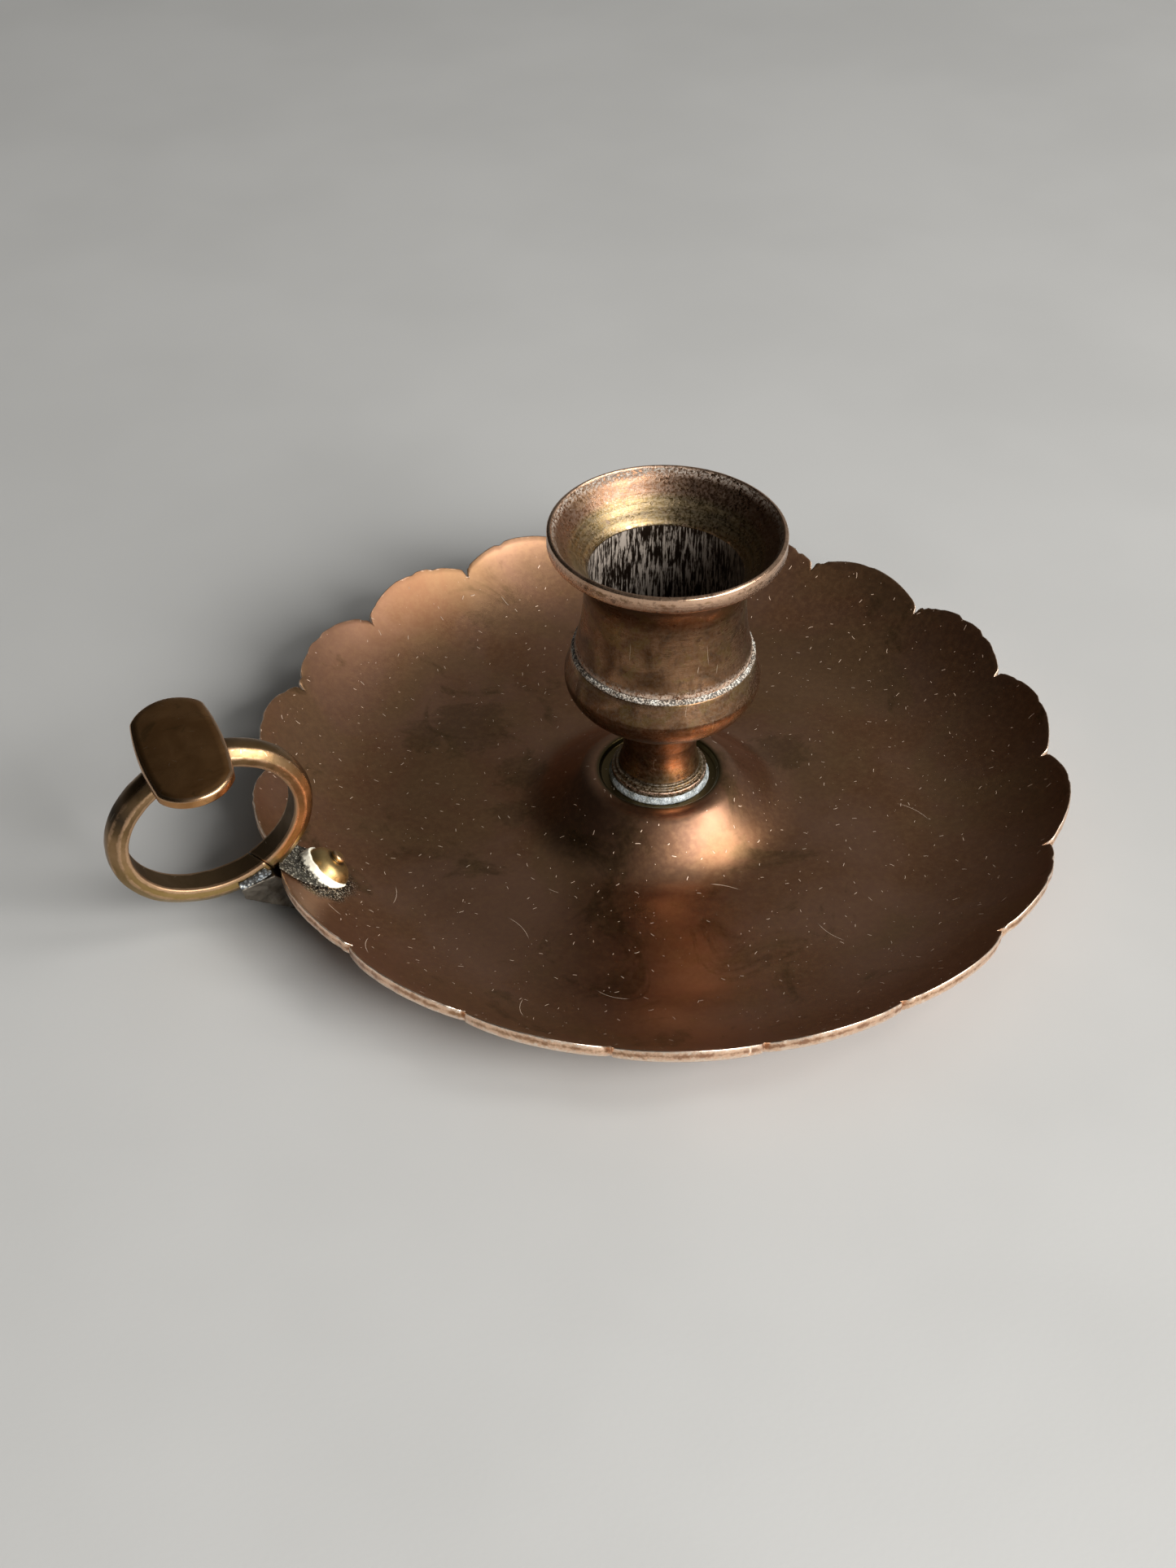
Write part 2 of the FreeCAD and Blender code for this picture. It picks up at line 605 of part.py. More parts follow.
def build():
    stem_bowl, pocket_z = make_stem_bowl()
    loop = make_bar_loop()
    plate, under = make_thumb_plate()
    ring = loop.cut(plate).cut(make_seam())
    bracket, bottom = make_bracket(loop)
    rivet = make_handle_rivet(bottom)
    rivet_solder = make_rivet_solder(rivet)
    return {
        "drip_pan": make_drip_pan(),
        "stem_bowl": stem_bowl,
        "candle_socket": make_candle_socket(pocket_z),
        "socket_solder": make_socket_solder(),
        "stem_solder": make_stem_solder(),
        "stem_washer": make_stem_washer(),
        "stem_nut": make_stem_nut(),
        "finger_ring": ring,
        "thumb_plate": plate,
        "plate_solder": make_plate_solder(plate, under, loop),
        "handle_bracket": bracket,
        "ring_solder": make_ring_solder(loop, bracket),
        "handle_rivet": rivet,
        "rivet_solder": rivet_solder,
        "rim_solder": make_rim_solder(rivet, rivet_solder, loop, bracket),
    }


os.makedirs("parts", exist_ok=True)
for node, shape in build().items():
    shape = solid_of(shape)
    box = shape.optimalBoundingBox()
    print(f"{node}: {len(shape.Solids)} solid, valid {shape.isValid()}, volume {shape.Volume:.1f}, "
          f"{box.XLength:.1f} x {box.YLength:.1f} x {box.ZLength:.1f} mm")
    shape.exportStep(f"parts/{node}.step")
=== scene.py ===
import math

import bmesh
import bpy
from mathutils import Matrix, Vector, noise


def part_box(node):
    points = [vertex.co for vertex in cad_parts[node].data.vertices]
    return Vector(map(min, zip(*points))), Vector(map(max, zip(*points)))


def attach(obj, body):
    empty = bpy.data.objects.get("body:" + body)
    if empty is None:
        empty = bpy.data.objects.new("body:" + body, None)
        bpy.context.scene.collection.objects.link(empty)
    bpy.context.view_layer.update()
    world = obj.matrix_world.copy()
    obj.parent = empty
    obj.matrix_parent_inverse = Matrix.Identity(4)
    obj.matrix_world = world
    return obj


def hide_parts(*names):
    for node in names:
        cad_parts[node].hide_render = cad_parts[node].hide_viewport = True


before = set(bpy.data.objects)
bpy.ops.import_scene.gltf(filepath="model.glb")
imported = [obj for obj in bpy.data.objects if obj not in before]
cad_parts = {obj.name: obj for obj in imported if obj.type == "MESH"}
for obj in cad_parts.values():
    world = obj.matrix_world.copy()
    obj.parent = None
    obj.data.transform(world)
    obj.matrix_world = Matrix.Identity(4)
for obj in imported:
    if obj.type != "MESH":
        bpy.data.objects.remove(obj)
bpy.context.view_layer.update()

# An old brass chamberstick: scalloped drip pan, turned socket and bowl on a
# short stem, finger ring with a thumb plate. Sizes here are in millimetres and
# become metres when a mesh is made.

MM = 0.001


def node_box(node):
    low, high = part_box(node)
    return [value / MM for value in low], [value / MM for value in high]


# ------------------------------------------------------------------- sizes

pan_low, pan_high = node_box("drip_pan")
_, bowl_high = node_box("stem_bowl")
_, socket_high = node_box("candle_socket")

# drip pan
PAN_R = (pan_high[1] - pan_low[1]) / 2
SHEET_T = 1.5
FLOOR_R = 40.0
RIM_ANGLE = 50.0
LOBES = 18
LOBE_RISE = 2.2
NOTCH_R = PAN_R - LOBE_RISE
WALL_R = (PAN_R - FLOOR_R) / math.sin(math.radians(RIM_ANGLE))

# boss and the recess that the stem stands in
BOSS_R = 23.0
BOSS_H = 6.9
BOSS_FLARE_R = 9.0
BOSS_CROWN_R = 4.0
BOSS_Z = SHEET_T + BOSS_H
SEAT_R = 9.4
SEAT_DEPTH = 0.9
SEAT_Z = BOSS_Z - SEAT_DEPTH
SEAT_LAND = 0.6
SEAT_DRAFT = 0.3
FIT = 0.05

# stem and bowl, heights above the seat
TENON_R = 3.0
TENON_L = 5.6
FOOT_R = 7.4
FOOT_T = 2.0
FOOT_STEP = 0.55
NECK_R = 6.0
NECK_H = 8.6
BOWL_R = bowl_high[0]
BOWL_DEPTH = 7.9
BOWL_H = 20.2
BOWL_BAND = 0.5
BOWL_FLOOR = 4.6

# candle socket
BORE_R = 11.4
SHOULDER_H = 25.0
SHOULDER_Z = SEAT_Z + SHOULDER_H
SHOULDER_R = 13.4
SPIGOT_WALL = 1.2
WAIST_R = 12.0
WAIST_H = 36.1
WAIST_Z = SEAT_Z + WAIST_H
BODY_HOLLOW = 0.35
NECK_HOLLOW = 1.15
LIP_R = socket_high[0]
LIP_Z = socket_high[2]
LIP_BAND = 2.8
LIP_EDGE = 0.55
LIP_BEVEL = 0.3
LIP_UNDERCUT = 0.9
THROAT_R = 12.9
THROAT_DEPTH = 5.3
FUNNEL_DEPTH = 7.0
GROOVED_R = 14.75
GROOVED_DEPTH = 3.0
GROOVES = (3.35, 3.7, 4.05, 4.4)
LEDGE_W = 0.45
LEDGE_H = 0.8

# finger ring
RING_HALF_LONG = 12.35
RING_HALF_SHORT = 10.7
RING_END_R = 9.6
RING_T = 3.1
RING_W = 4.5
RING_FLAT_W = 4.0
RING_CROWN_W = 2.8
RING_CROWN = 0.3
RING_DROP = 17.2
RING_RISE = 51.5
RING_GAP = 0.2
SEAM_W = 0.25
SEAM_TURN = 8.0
SEAM_SLANT = 25.0

# thumb plate
PLATE_L = 23.3
PLATE_W = 12.2
PLATE_T = 1.9
PLATE_FALL = 5.9
PLATE_SHIFT = 1.65
PLATE_LAND = 0.65
PLATE_DOME = 0.18
PLATE_TOP_EDGE_R = 0.62
PLATE_LOW_EDGE_R = 0.35

# rivet
RIVET_INSET = 6.4
RIVET_R = 1.8
RIVET_HEAD_R = 4.0
RIVET_HEAD_H = 2.9
RIVET_LEAN = 18.0
NUB_R = 1.15
NUB_H = 0.7
SHANK_L = 4.0
HEAD_UNDER = 1.6
HEAD_RIM_LOW = 1.3
HEAD_RIM_HIGH = 0.5
TOOL_LINE_H = 0.006

# loose bits of a remade piece with fewer corners than this are dropped
CRUMB_CORNERS = 100


# -------------------------------------------------------------- node trees

class Net:
    """Shorthand for building a node tree."""

    def __init__(self, tree):
        self.tree = tree

    def feed(self, socket, value):
        if isinstance(value, bpy.types.NodeSocket):
            self.tree.links.new(value, socket)
        else:
            socket.default_value = value

    def add(self, kind, inputs=None, **settings):
        node = self.tree.nodes.new(kind)
        for name, value in settings.items():
            setattr(node, name, value)
        for key, value in (inputs or {}).items():
            self.feed(node.inputs[key], value)
        return node

    def maths(self, operation, *values, clamp=False):
        node = self.add("ShaderNodeMath", dict(enumerate(values)), operation=operation)
        node.use_clamp = clamp
        return node.outputs[0]

    def times(self, first, second):
        return self.maths("MULTIPLY", first, second)

    def plus(self, first, second):
        return self.maths("ADD", first, second)

    def minus(self, first, second):
        return self.maths("SUBTRACT", first, second)

    def over(self, first, second):
        return self.maths("DIVIDE", first, second)

    def times_plus(self, first, second, third):
        return self.maths("MULTIPLY_ADD", first, second, third)

    def vectors(self, operation, *values):
        node = self.add("ShaderNodeVectorMath", operation=operation)
        for index, value in enumerate(values):
            self.feed(node.inputs["Scale" if operation == "SCALE" and index == 1 else index], value)
        return node.outputs["Value" if operation in ("LENGTH", "DOT_PRODUCT") else "Vector"]

    def gap(self, place, centre):
        """Distance from place to centre."""
        return self.vectors("LENGTH", self.vectors("SUBTRACT", place, centre))

    def span(self, value, low, high, to_low=0.0, to_high=1.0):
        """value from low..high to to_low..to_high, eased and held at both ends."""
        node = self.add("ShaderNodeMapRange", {"Value": value, "From Min": low, "From Max": high,
                                               "To Min": to_low, "To Max": to_high},
                        interpolation_type="SMOOTHSTEP")
        return node.outputs["Result"]

    def blend(self, share, first, second):
        node = self.add("ShaderNodeMix", data_type="RGBA")
        for index, value in ((0, share), (6, first), (7, second)):
            self.feed(node.inputs[index], (*value, 1.0) if isinstance(value, tuple) else value)
        return node.outputs[2]

    def fog(self, place, size, detail=3.0, roughness=0.5, warp=0.0):
        """Cloudy noise with lumps of about size millimetres."""
        scale = self.over(1.0, size) if isinstance(size, bpy.types.NodeSocket) else 1.0 / size
        return self.add("ShaderNodeTexNoise", {
            "Vector": place, "Scale": scale, "Detail": detail, "Roughness": roughness,
            "Distortion": warp}).outputs["Fac"]

    def apart(self, vector):
        return self.add("ShaderNodeSeparateXYZ", {0: vector}).outputs

    def together(self, x, y, z):
        return self.add("ShaderNodeCombineXYZ", {0: x, 1: y, 2: z}).outputs[0]


def new_group(name, kind, takes, gives):
    """Empty node group. Its sockets are given by a kind or by a default number.
    Returns its net, inputs and outputs."""
    tree = bpy.data.node_groups.new(name, kind)
    for way, sockets in (("INPUT", takes), ("OUTPUT", gives)):
        for label, value in sockets.items():
            named = isinstance(value, str)
            sort = value if named else "Int" if isinstance(value, int) else "Float"
            made = tree.interface.new_socket(label, in_out=way, socket_type="NodeSocket" + sort)
            if not named:
                made.default_value = value
    net = Net(tree)
    return net, net.add("NodeGroupInput").outputs, net.add("NodeGroupOutput").inputs


# ------------------------------------------------- shared shader groups

def make_patina_group():
    """Slow tarnish clouds, sharper stains and a fine mottle."""
    net, takes, gives = new_group(
        "patina", "ShaderNodeTree", {"Place": "Vector", "Cloud Size": 14.0, "Stain Size": 7.0},
        {"Cloud": "Float", "Stain": "Float", "Mottle": "Float"})
    place = takes["Place"]
    cloud = net.fog(place, takes["Cloud Size"], 5.0, 0.55, 0.6)
    stain = net.fog(net.vectors("ADD", place, (41.0, 17.0, 5.0)), takes["Stain Size"], 7.0, 0.62, 1.1)
    net.feed(gives["Cloud"], net.span(cloud, 0.34, 0.66))
    net.feed(gives["Stain"], net.span(stain, 0.56, 0.68))
    net.feed(gives["Mottle"], net.fog(place, 0.9, 4.0, 0.65))
    return net.tree


def make_hairline_group():
    """Short thin marks, each at its own place and angle."""
    net, takes, gives = new_group(
        "hairlines", "ShaderNodeTree",
        {"Place": "Vector", "Spacing": 4.0, "Length": 0.5, "Width": 0.04, "Share": 0.5},
        {"Line": "Float"})
    place = net.vectors("SCALE", takes["Place"], net.over(1.0, takes["Spacing"]))
    cells = net.add("ShaderNodeTexVoronoi", {"Vector": place, "Scale": 1.0, "Randomness": 1.0},
                    feature="F1", voronoi_dimensions="2D")
    dice = net.add("ShaderNodeSeparateColor", {0: cells.outputs["Color"]}).outputs
    offset = net.vectors("SUBTRACT", place, cells.outputs["Position"])
    turned = net.add("ShaderNodeVectorRotate",
                     {"Vector": offset, "Angle": net.times(dice[0], math.tau)},
                     rotation_type="Z_AXIS").outputs[0]
    x, y, _ = net.apart(turned)
    bend = net.times(net.times(x, x),
                     net.times_plus(dice[2], 3.0, -1.5))
    across = net.maths("ABSOLUTE", net.minus(y, bend))
    length = net.times(takes["Length"], net.times_plus(dice[1], 0.45, 0.05))
    shown = net.maths("LESS_THAN", dice[2], takes["Share"])
    thin = net.span(across, takes["Width"], 0.0)
    ends = net.span(net.maths("ABSOLUTE", x), length, net.times(length, 0.6))
    net.feed(gives["Line"], net.times(net.times(thin, ends), shown))
    return net.tree


def make_turning_group():
    """Fine rings left by a tool or a polishing mop, all round the Z axis."""
    net, takes, gives = new_group(
        "turning lines", "ShaderNodeTree", {"Place": "Vector", "Pitch": 0.3}, {"Line": "Float"})
    x, y, z = net.apart(takes["Place"])
    radius = net.maths("SQRT", net.plus(net.times(x, x), net.times(y, y)))
    near = net.together(net.over(radius, takes["Pitch"]),
                        net.over(z, takes["Pitch"]),
                        net.times(net.maths("ARCTAN2", y, x), 0.8))
    net.feed(gives["Line"], net.fog(near, 1.0, 3.0, 0.6))
    return net.tree


def make_wear_group():
    """Bright wear where an edge mark is strong, broken up by the metal's grain."""
    net, takes, gives = new_group(
        "edge wear", "ShaderNodeTree",
        {"Place": "Vector", "Edge": 0.0, "Grain Size": 1.2, "Reach": 0.5}, {"Worn": "Float"})
    grain = net.fog(takes["Place"], takes["Grain Size"], 5.0, 0.7)
    rough_edge = net.plus(takes["Edge"], net.times_plus(grain, 1.2, -0.6))
    level = net.minus(1.0, takes["Reach"])
    net.feed(gives["Worn"], net.span(rough_edge, level, net.plus(level, 0.3)))
    return net.tree


def make_grain_group():
    """Grains of cast solder with dark pits and bright points."""
    net, takes, gives = new_group(
        "grains", "ShaderNodeTree", {"Place": "Vector", "Size": 0.35},
        {"Height": "Float", "Pit": "Float", "Glint": "Float"})
    cells = net.add("ShaderNodeTexVoronoi", {
        "Vector": takes["Place"], "Scale": net.over(1.0, takes["Size"]), "Randomness": 1.0},
        feature="SMOOTH_F1")
    net.feed(cells.inputs["Smoothness"], 0.35)
    lumps = net.fog(takes["Place"], takes["Size"], 4.0, 0.7)
    height = net.minus(lumps, cells.outputs["Distance"])
    net.feed(gives["Height"], height)
    net.feed(gives["Pit"], net.span(height, 0.07, -0.07))
    net.feed(gives["Glint"], net.span(height, 0.17, 0.30))
    return net.tree


PATINA = make_patina_group()
HAIRLINES = make_hairline_group()
TURNING = make_turning_group()
WEAR = make_wear_group()
GRAINS = make_grain_group()


# --------------------------------------------------------------- materials

class Finish(Net):
    """A material under way, with its place in millimetres and its shader."""

    def __init__(self, name, metallic=1.0):
        self.material = bpy.data.materials.new(name)
        self.material.use_nodes = True
        tree = self.material.node_tree
        tree.nodes.clear()
        super().__init__(tree)
        self.shader = self.add("ShaderNodeBsdfPrincipled", {"Metallic": metallic})
        out = self.add("ShaderNodeOutputMaterial", {"Surface": self.shader.outputs[0]})
        out.is_active_output = True
        where = self.add("ShaderNodeTexCoord").outputs["Object"]
        self.place = self.vectors("SCALE", where, 1.0 / MM)
        self.base = None
        self.height = None

    def coat(self, share, tone, most=None):
        """Lays a tone over the base. most is how much shows at a share of one."""
        if most is not None:
            share = self.times(share, most)
        self.base = self.blend(share, self.base, tone)

    def effect(self, group, **values):
        node = self.add("ShaderNodeGroup")
        node.node_tree = group
        self.feed(node.inputs["Place"], self.place)
        for name, value in values.items():
            self.feed(node.inputs[name.replace("_", " ")], value)
        return node.outputs

    def mark(self, name):
        """Value of a mark that was put on the mesh."""
        return self.add("ShaderNodeAttribute", attribute_name=name).outputs["Fac"]

    def raise_by(self, height, amount):
        """Adds a height field, amount in millimetres, under the shader's normal."""
        node = self.add("ShaderNodeBump", {"Height": height, "Distance": amount * MM, "Strength": 1.0})
        if self.height is not None:
            self.feed(node.inputs["Normal"], self.height)
        self.height = node.outputs[0]

    def done(self, roughness):
        self.feed(self.shader.inputs["Base Color"], self.base)
        self.feed(self.shader.inputs["Roughness"], roughness)
        if self.height is not None:
            self.feed(self.shader.inputs["Normal"], self.height)
        return self.material


SPATTER = (-55.0, -2.0, 8.0)
RUBBED = (-57.2, -6.2, 9.5)
OLIVE_POOLS = ((-21.5, 29.0, 8.0), (-29.5, 29.0, 4.5), (23.5, 4.0, 5.5), (-17.5, 14.5, 5.0),
               (-23.0, 6.0, 4.0))


def pan_finish():
    """Spun sheet: brown tarnish, olive stains, fine marks, polished rim whose wear is brightened with a
    painted highlight.
    """
    net = Finish("pan brass")
    patina = net.effect(PATINA, Cloud_Size=22.0, Stain_Size=15.0)
    rings = net.effect(TURNING, Pitch=0.5)["Line"]
    short = net.effect(HAIRLINES, Spacing=3.0, Length=0.34, Width=0.030, Share=0.45)["Line"]
    long = net.effect(HAIRLINES, Spacing=17.0, Length=0.4, Width=0.004, Share=0.2)["Line"]
    dots = net.effect(HAIRLINES, Spacing=1.7, Length=0.10, Width=0.050, Share=0.18)["Line"]
    worn = net.effect(WEAR, Edge=net.mark("edge"), Grain_Size=1.8, Reach=0.52)["Worn"]
    chips_and_highlight = net.effect(WEAR, Edge=net.mark("edge"), Grain_Size=0.6, Reach=0.30)["Worn"]
    hollow = net.mark("hollow")

    rose = (0.44, 0.235, 0.148)
    umber = (0.32, 0.155, 0.078)
    khaki = (0.37, 0.215, 0.105)
    olive = (0.12, 0.075, 0.026)
    gold = (0.60, 0.36, 0.18)
    bright = (0.86, 0.58, 0.40)
    net.base = net.blend(patina["Cloud"], rose, umber)
    drift = net.fog(net.vectors("ADD", net.place, (9.0, 60.0, 0.0)), 26.0, 4.0, 0.6, 0.8)
    net.coat(net.span(drift, 0.46, 0.62, 0.0, 0.6), khaki)
    net.coat(patina["Stain"], olive, 0.55)
    # pools of old olive tarnish on the floor of the pan, round the boss
    ragged = net.times_plus(net.fog(net.place, 4.0, 6.0, 0.7, 1.5), 1.9, -0.95)
    pools = 0.0
    for x, y, size in OLIVE_POOLS:
        gap = net.vectors("LENGTH", net.vectors("SUBTRACT", net.place, (x, y, SHEET_T)))
        pool = net.span(net.plus(net.over(gap, size), ragged), 1.0, 0.6)
        pools = net.maths("MAXIMUM", pools, pool)
    net.coat(pools, olive, 0.42)
    net.coat(net.span(patina["Mottle"], 0.35, 0.75, 0.0, 0.22), gold)
    net.coat(hollow, (0.10, 0.075, 0.03), 0.8)
    # the recess round the stem's foot has kept its dark olive tarnish
    x, y, _ = net.apart(net.place)
    from_stem = net.vectors("LENGTH", net.together(x, y, 0.0))
    recess = net.span(from_stem, SEAT_R + 0.5, SEAT_R - 0.1)
    net.coat(recess, (0.085, 0.068, 0.020), 0.9)
    # spatter of solder round the rivet, with a spot rubbed back to gold
    grains = net.effect(GRAINS, Size=0.3)
    spatter = net.vectors("LENGTH", net.vectors("SUBTRACT", net.place, SPATTER))
    spatter = net.span(net.plus(spatter, net.times(ragged, 1.6)), 6.6, 4.6)
    net.coat(spatter, (0.10, 0.088, 0.062), 0.72)
    net.coat(net.times(spatter, grains["Pit"]), (0.02, 0.018, 0.014))
    net.coat(net.times(spatter, grains["Glint"]), (0.70, 0.66, 0.55))
    rubbed = net.vectors("LENGTH", net.vectors("SUBTRACT", net.place, RUBBED))
    rubbed = net.span(net.plus(rubbed, net.times(ragged, 0.8)), 2.4, 0.6)
    net.coat(rubbed, (0.85, 0.58, 0.22), 0.9)
    marks = net.maths("MAXIMUM", net.maths("MAXIMUM", short, dots), long, clamp=True)
    net.coat(marks, (1.0, 0.86, 0.72), 0.85)
    # rim wear, brightened, with near-white chips that are also a painted highlight
    net.coat(worn, bright)
    net.coat(chips_and_highlight, (0.97, 0.86, 0.74), 0.7)

    rough = net.times_plus(patina["Cloud"], 0.07, 0.29)
    rough = net.times_plus(net.span(patina["Mottle"], 0.3, 0.8), 0.05, rough)
    rough = net.times_plus(net.span(net.mark("climb"), 0.1, 0.6), 0.07, rough)
    rough = net.times_plus(marks, 0.40, rough)
    rough = net.times_plus(spatter, 0.22, rough)
    rough = net.times_plus(worn, -0.08, rough)
    net.raise_by(net.fog(net.place, 9.0, 2.0), 0.05)
    net.raise_by(rings, 0.0022)
    net.raise_by(net.fog(net.place, 0.35, 3.0, 0.7), 0.003)
    net.raise_by(marks, 0.02)
    net.raise_by(net.times(grains["Height"], spatter), 0.08)
    net.feed(net.shader.inputs["Coat Weight"], 0.14)
    net.feed(net.shader.inputs["Coat Roughness"], 0.32)
    return net.done(rough)


def turned_finish(name):
    """Turned brass: dark brown tarnish, tool lines, white polish in the hollows."""
    net = Finish(name)
    patina = net.effect(PATINA, Cloud_Size=5.0, Stain_Size=3.2)
    rings = net.effect(TURNING, Pitch=0.16)["Line"]
    coarse = net.effect(TURNING, Pitch=0.7)["Line"]
    short = net.effect(HAIRLINES, Spacing=2.2, Length=0.4, Width=0.02, Share=0.4)["Line"]
    worn = net.effect(WEAR, Edge=net.mark("edge"), Grain_Size=1.6, Reach=0.55)["Worn"]
    hollow = net.mark("hollow")
    inside = net.mark("inside")
    chalk = net.mark("chalk")

    net.base = net.blend(patina["Cloud"], (0.27, 0.142, 0.072), (0.095, 0.046, 0.019))
    net.coat(patina["Stain"], (0.06, 0.034, 0.018), 0.5)
    net.coat(net.span(coarse, 0.45, 0.75, 0.0, 0.25), (0.34, 0.22, 0.12))
    gilt = net.mark("gilt")
    bronzed = net.fog(net.vectors("ADD", net.place, (3.0, 31.0, 8.0)), 4.5, 5.0, 0.6, 1.0)
    net.coat(net.span(bronzed, 0.50, 0.62, 0.0, 0.5), (0.19, 0.125, 0.042))
    net.coat(inside, (0.20, 0.105, 0.062), 0.6)
    olive = net.blend(net.span(coarse, 0.35, 0.65), (0.125, 0.09, 0.032),
                      (0.30, 0.215, 0.10))
    # olive tarnish in the funnel; low on the stem the same tint is a painted highlight
    net.coat(gilt, olive, 0.85)
    net.coat(hollow, (0.06, 0.045, 0.025), 0.75)
    net.coat(short, (0.80, 0.66, 0.52), 0.6)
    net.coat(worn, (0.62, 0.40, 0.27))
    spots = net.span(net.fog(net.vectors("ADD", net.place, (7.0, 3.0, 2.0)), 1.3, 5.0, 0.7), 0.56, 0.66)
    net.coat(spots, (0.11, 0.055, 0.030), 0.7)

    powder = net.fog(net.place, 0.45, 5.0, 0.75, 0.6)
    white = net.times(chalk, net.span(powder, 0.42, 0.60))
    net.coat(white, (0.62, 0.57, 0.50))
    rough = net.times_plus(patina["Cloud"], 0.12, 0.22)
    rough = net.times_plus(net.span(rings, 0.4, 0.7), 0.08, rough)
    rough = net.times_plus(worn, -0.05, rough)
    rough = net.maths("MULTIPLY_ADD", white, 0.45, rough, clamp=True)
    net.feed(net.shader.inputs["Metallic"], net.times_plus(white, -0.85, 1.0))
    net.raise_by(rings, TOOL_LINE_H)
    net.raise_by(coarse, TOOL_LINE_H * 1.6)
    net.raise_by(net.fog(net.place, 0.5, 4.0, 0.7), 0.012)
    net.raise_by(white, 0.05)
    return net.done(rough)


def bore_finish():
    """Inside of the bore: dark brass with pale streaks of chatter."""
    net = Finish("streaked bore")
    x, y, z = net.apart(net.place)
    angle = net.maths("ARCTAN2", y, x)
    streaks = net.add("ShaderNodeTexNoise", {
        "Vector": net.together(net.times(net.maths("COSINE", angle), 34.0),
                               net.times(net.maths("SINE", angle), 34.0),
                               net.times(z, 0.30)),
        "Scale": 1.0, "Detail": 3.0, "Roughness": 0.65}).outputs["Fac"]
    patches = net.fog(net.place, 4.0, 4.0, 0.6)
    fine = net.fog(net.place, 0.4, 4.0, 0.7)
    pale = net.plus(streaks, net.times_plus(patches, 0.35, -0.19))
    pale = net.span(net.times_plus(fine, 0.16, pale), 0.52, 0.66)
    net.base = net.blend(pale, (0.045, 0.028, 0.018), (0.34, 0.29, 0.245))
    rough = net.times_plus(pale, 0.22, 0.40)
    net.feed(net.shader.inputs["Metallic"], net.times_plus(pale, -0.9, 0.9))
    net.raise_by(streaks, 0.12)
    net.raise_by(fine, 0.02)
    return net.done(rough)


def handle_finish(name, light, deep, rough):
    """Handled brass: bright on ridges, brown between, nearly black in hollows, with painted shade under
    the thumb plate and inside the ring and a painted reflection of the pan on the ring's lower side.
    """
    net = Finish(name)
    patina = net.effect(PATINA, Cloud_Size=6.0, Stain_Size=4.0)
    short = net.effect(HAIRLINES, Spacing=2.6, Length=0.4, Width=0.02, Share=0.35)["Line"]
    worn = net.effect(WEAR, Edge=net.mark("edge"), Grain_Size=2.2, Reach=0.60)["Worn"]
    hollow = net.mark("hollow")
    under_shade = net.mark("under_shade")
    gold = net.mark("gold")
    net.base = net.blend(patina["Cloud"], light, deep)
    net.coat(patina["Stain"], (0.15, 0.095, 0.035), 0.45)
    # painted reflection: gold tint on the ring's lower side, as if from the brass pan below
    net.coat(gold, (0.36, 0.25, 0.085), 0.7)
    # painted shade: nearly black under the thumb plate, on its underside and on the ring's inner face
    net.coat(under_shade, (0.035, 0.028, 0.022), 0.85)
    net.coat(hollow, (0.04, 0.03, 0.02), 0.8)
    net.coat(short, (0.85, 0.70, 0.55), 0.5)
    net.coat(worn, (0.58, 0.37, 0.22), 0.7)
    rough = net.times_plus(patina["Cloud"], 0.10, rough)
    rough = net.times_plus(under_shade, 0.30, rough)
    rough = net.times_plus(worn, -0.04, rough)
    net.raise_by(net.fog(net.place, 3.0, 2.0), 0.05)
    net.raise_by(net.fog(net.place, 0.4, 4.0, 0.7), 0.008)
    return net.done(rough)


def solder_finish(name, pale, dark, grain, metal, lift=0.10, pits=0.85):
    """Soft solder: grainy, matt and pitted."""
    net = Finish(name)
    grains = net.effect(GRAINS, Size=grain)
    cloud = net.fog(net.place, 1.6, 4.0, 0.6)
    net.base = net.blend(net.span(cloud, 0.35, 0.65), pale, dark)
    net.coat(net.times(grains["Pit"], pits), (0.03, 0.027, 0.022))
    net.coat(grains["Glint"], (0.72, 0.68, 0.58), 0.6)
    net.feed(net.shader.inputs["Metallic"], metal)
    rough = net.times_plus(cloud, 0.25, 0.38)
    net.raise_by(grains["Height"], lift)
    return net.done(rough)


def collar_finish(foot, axis):
    """Cream solder close round the rivet's head, grey grains further out."""
    net = Finish("collar solder")
    grains = net.effect(GRAINS, Size=0.38)
    from_foot = net.vectors("SUBTRACT", net.place, tuple(foot))
    aside = net.vectors("LENGTH", net.vectors("CROSS_PRODUCT", from_foot, tuple(axis)))
    aside = net.times_plus(net.fog(net.place, 1.2, 4.0, 0.6), 0.9, aside)
    cream = net.span(aside, RIVET_HEAD_R + 0.92, RIVET_HEAD_R + 0.70)
    net.base = net.blend(net.fog(net.place, 1.5), (0.19, 0.18, 0.135), (0.06, 0.055, 0.04))
    net.coat(grains["Pit"], (0.03, 0.027, 0.022), 0.9)
    net.coat(grains["Glint"], (0.72, 0.68, 0.58), 0.6)
    net.coat(cream, (0.97, 0.93, 0.78))
    net.feed(net.shader.inputs["Metallic"], net.times_plus(cream, -0.5, 0.5))
    net.raise_by(net.times(grains["Height"], net.minus(1.0, cream)), 0.12)
    return net.done(net.times_plus(cream, 0.10, 0.45))


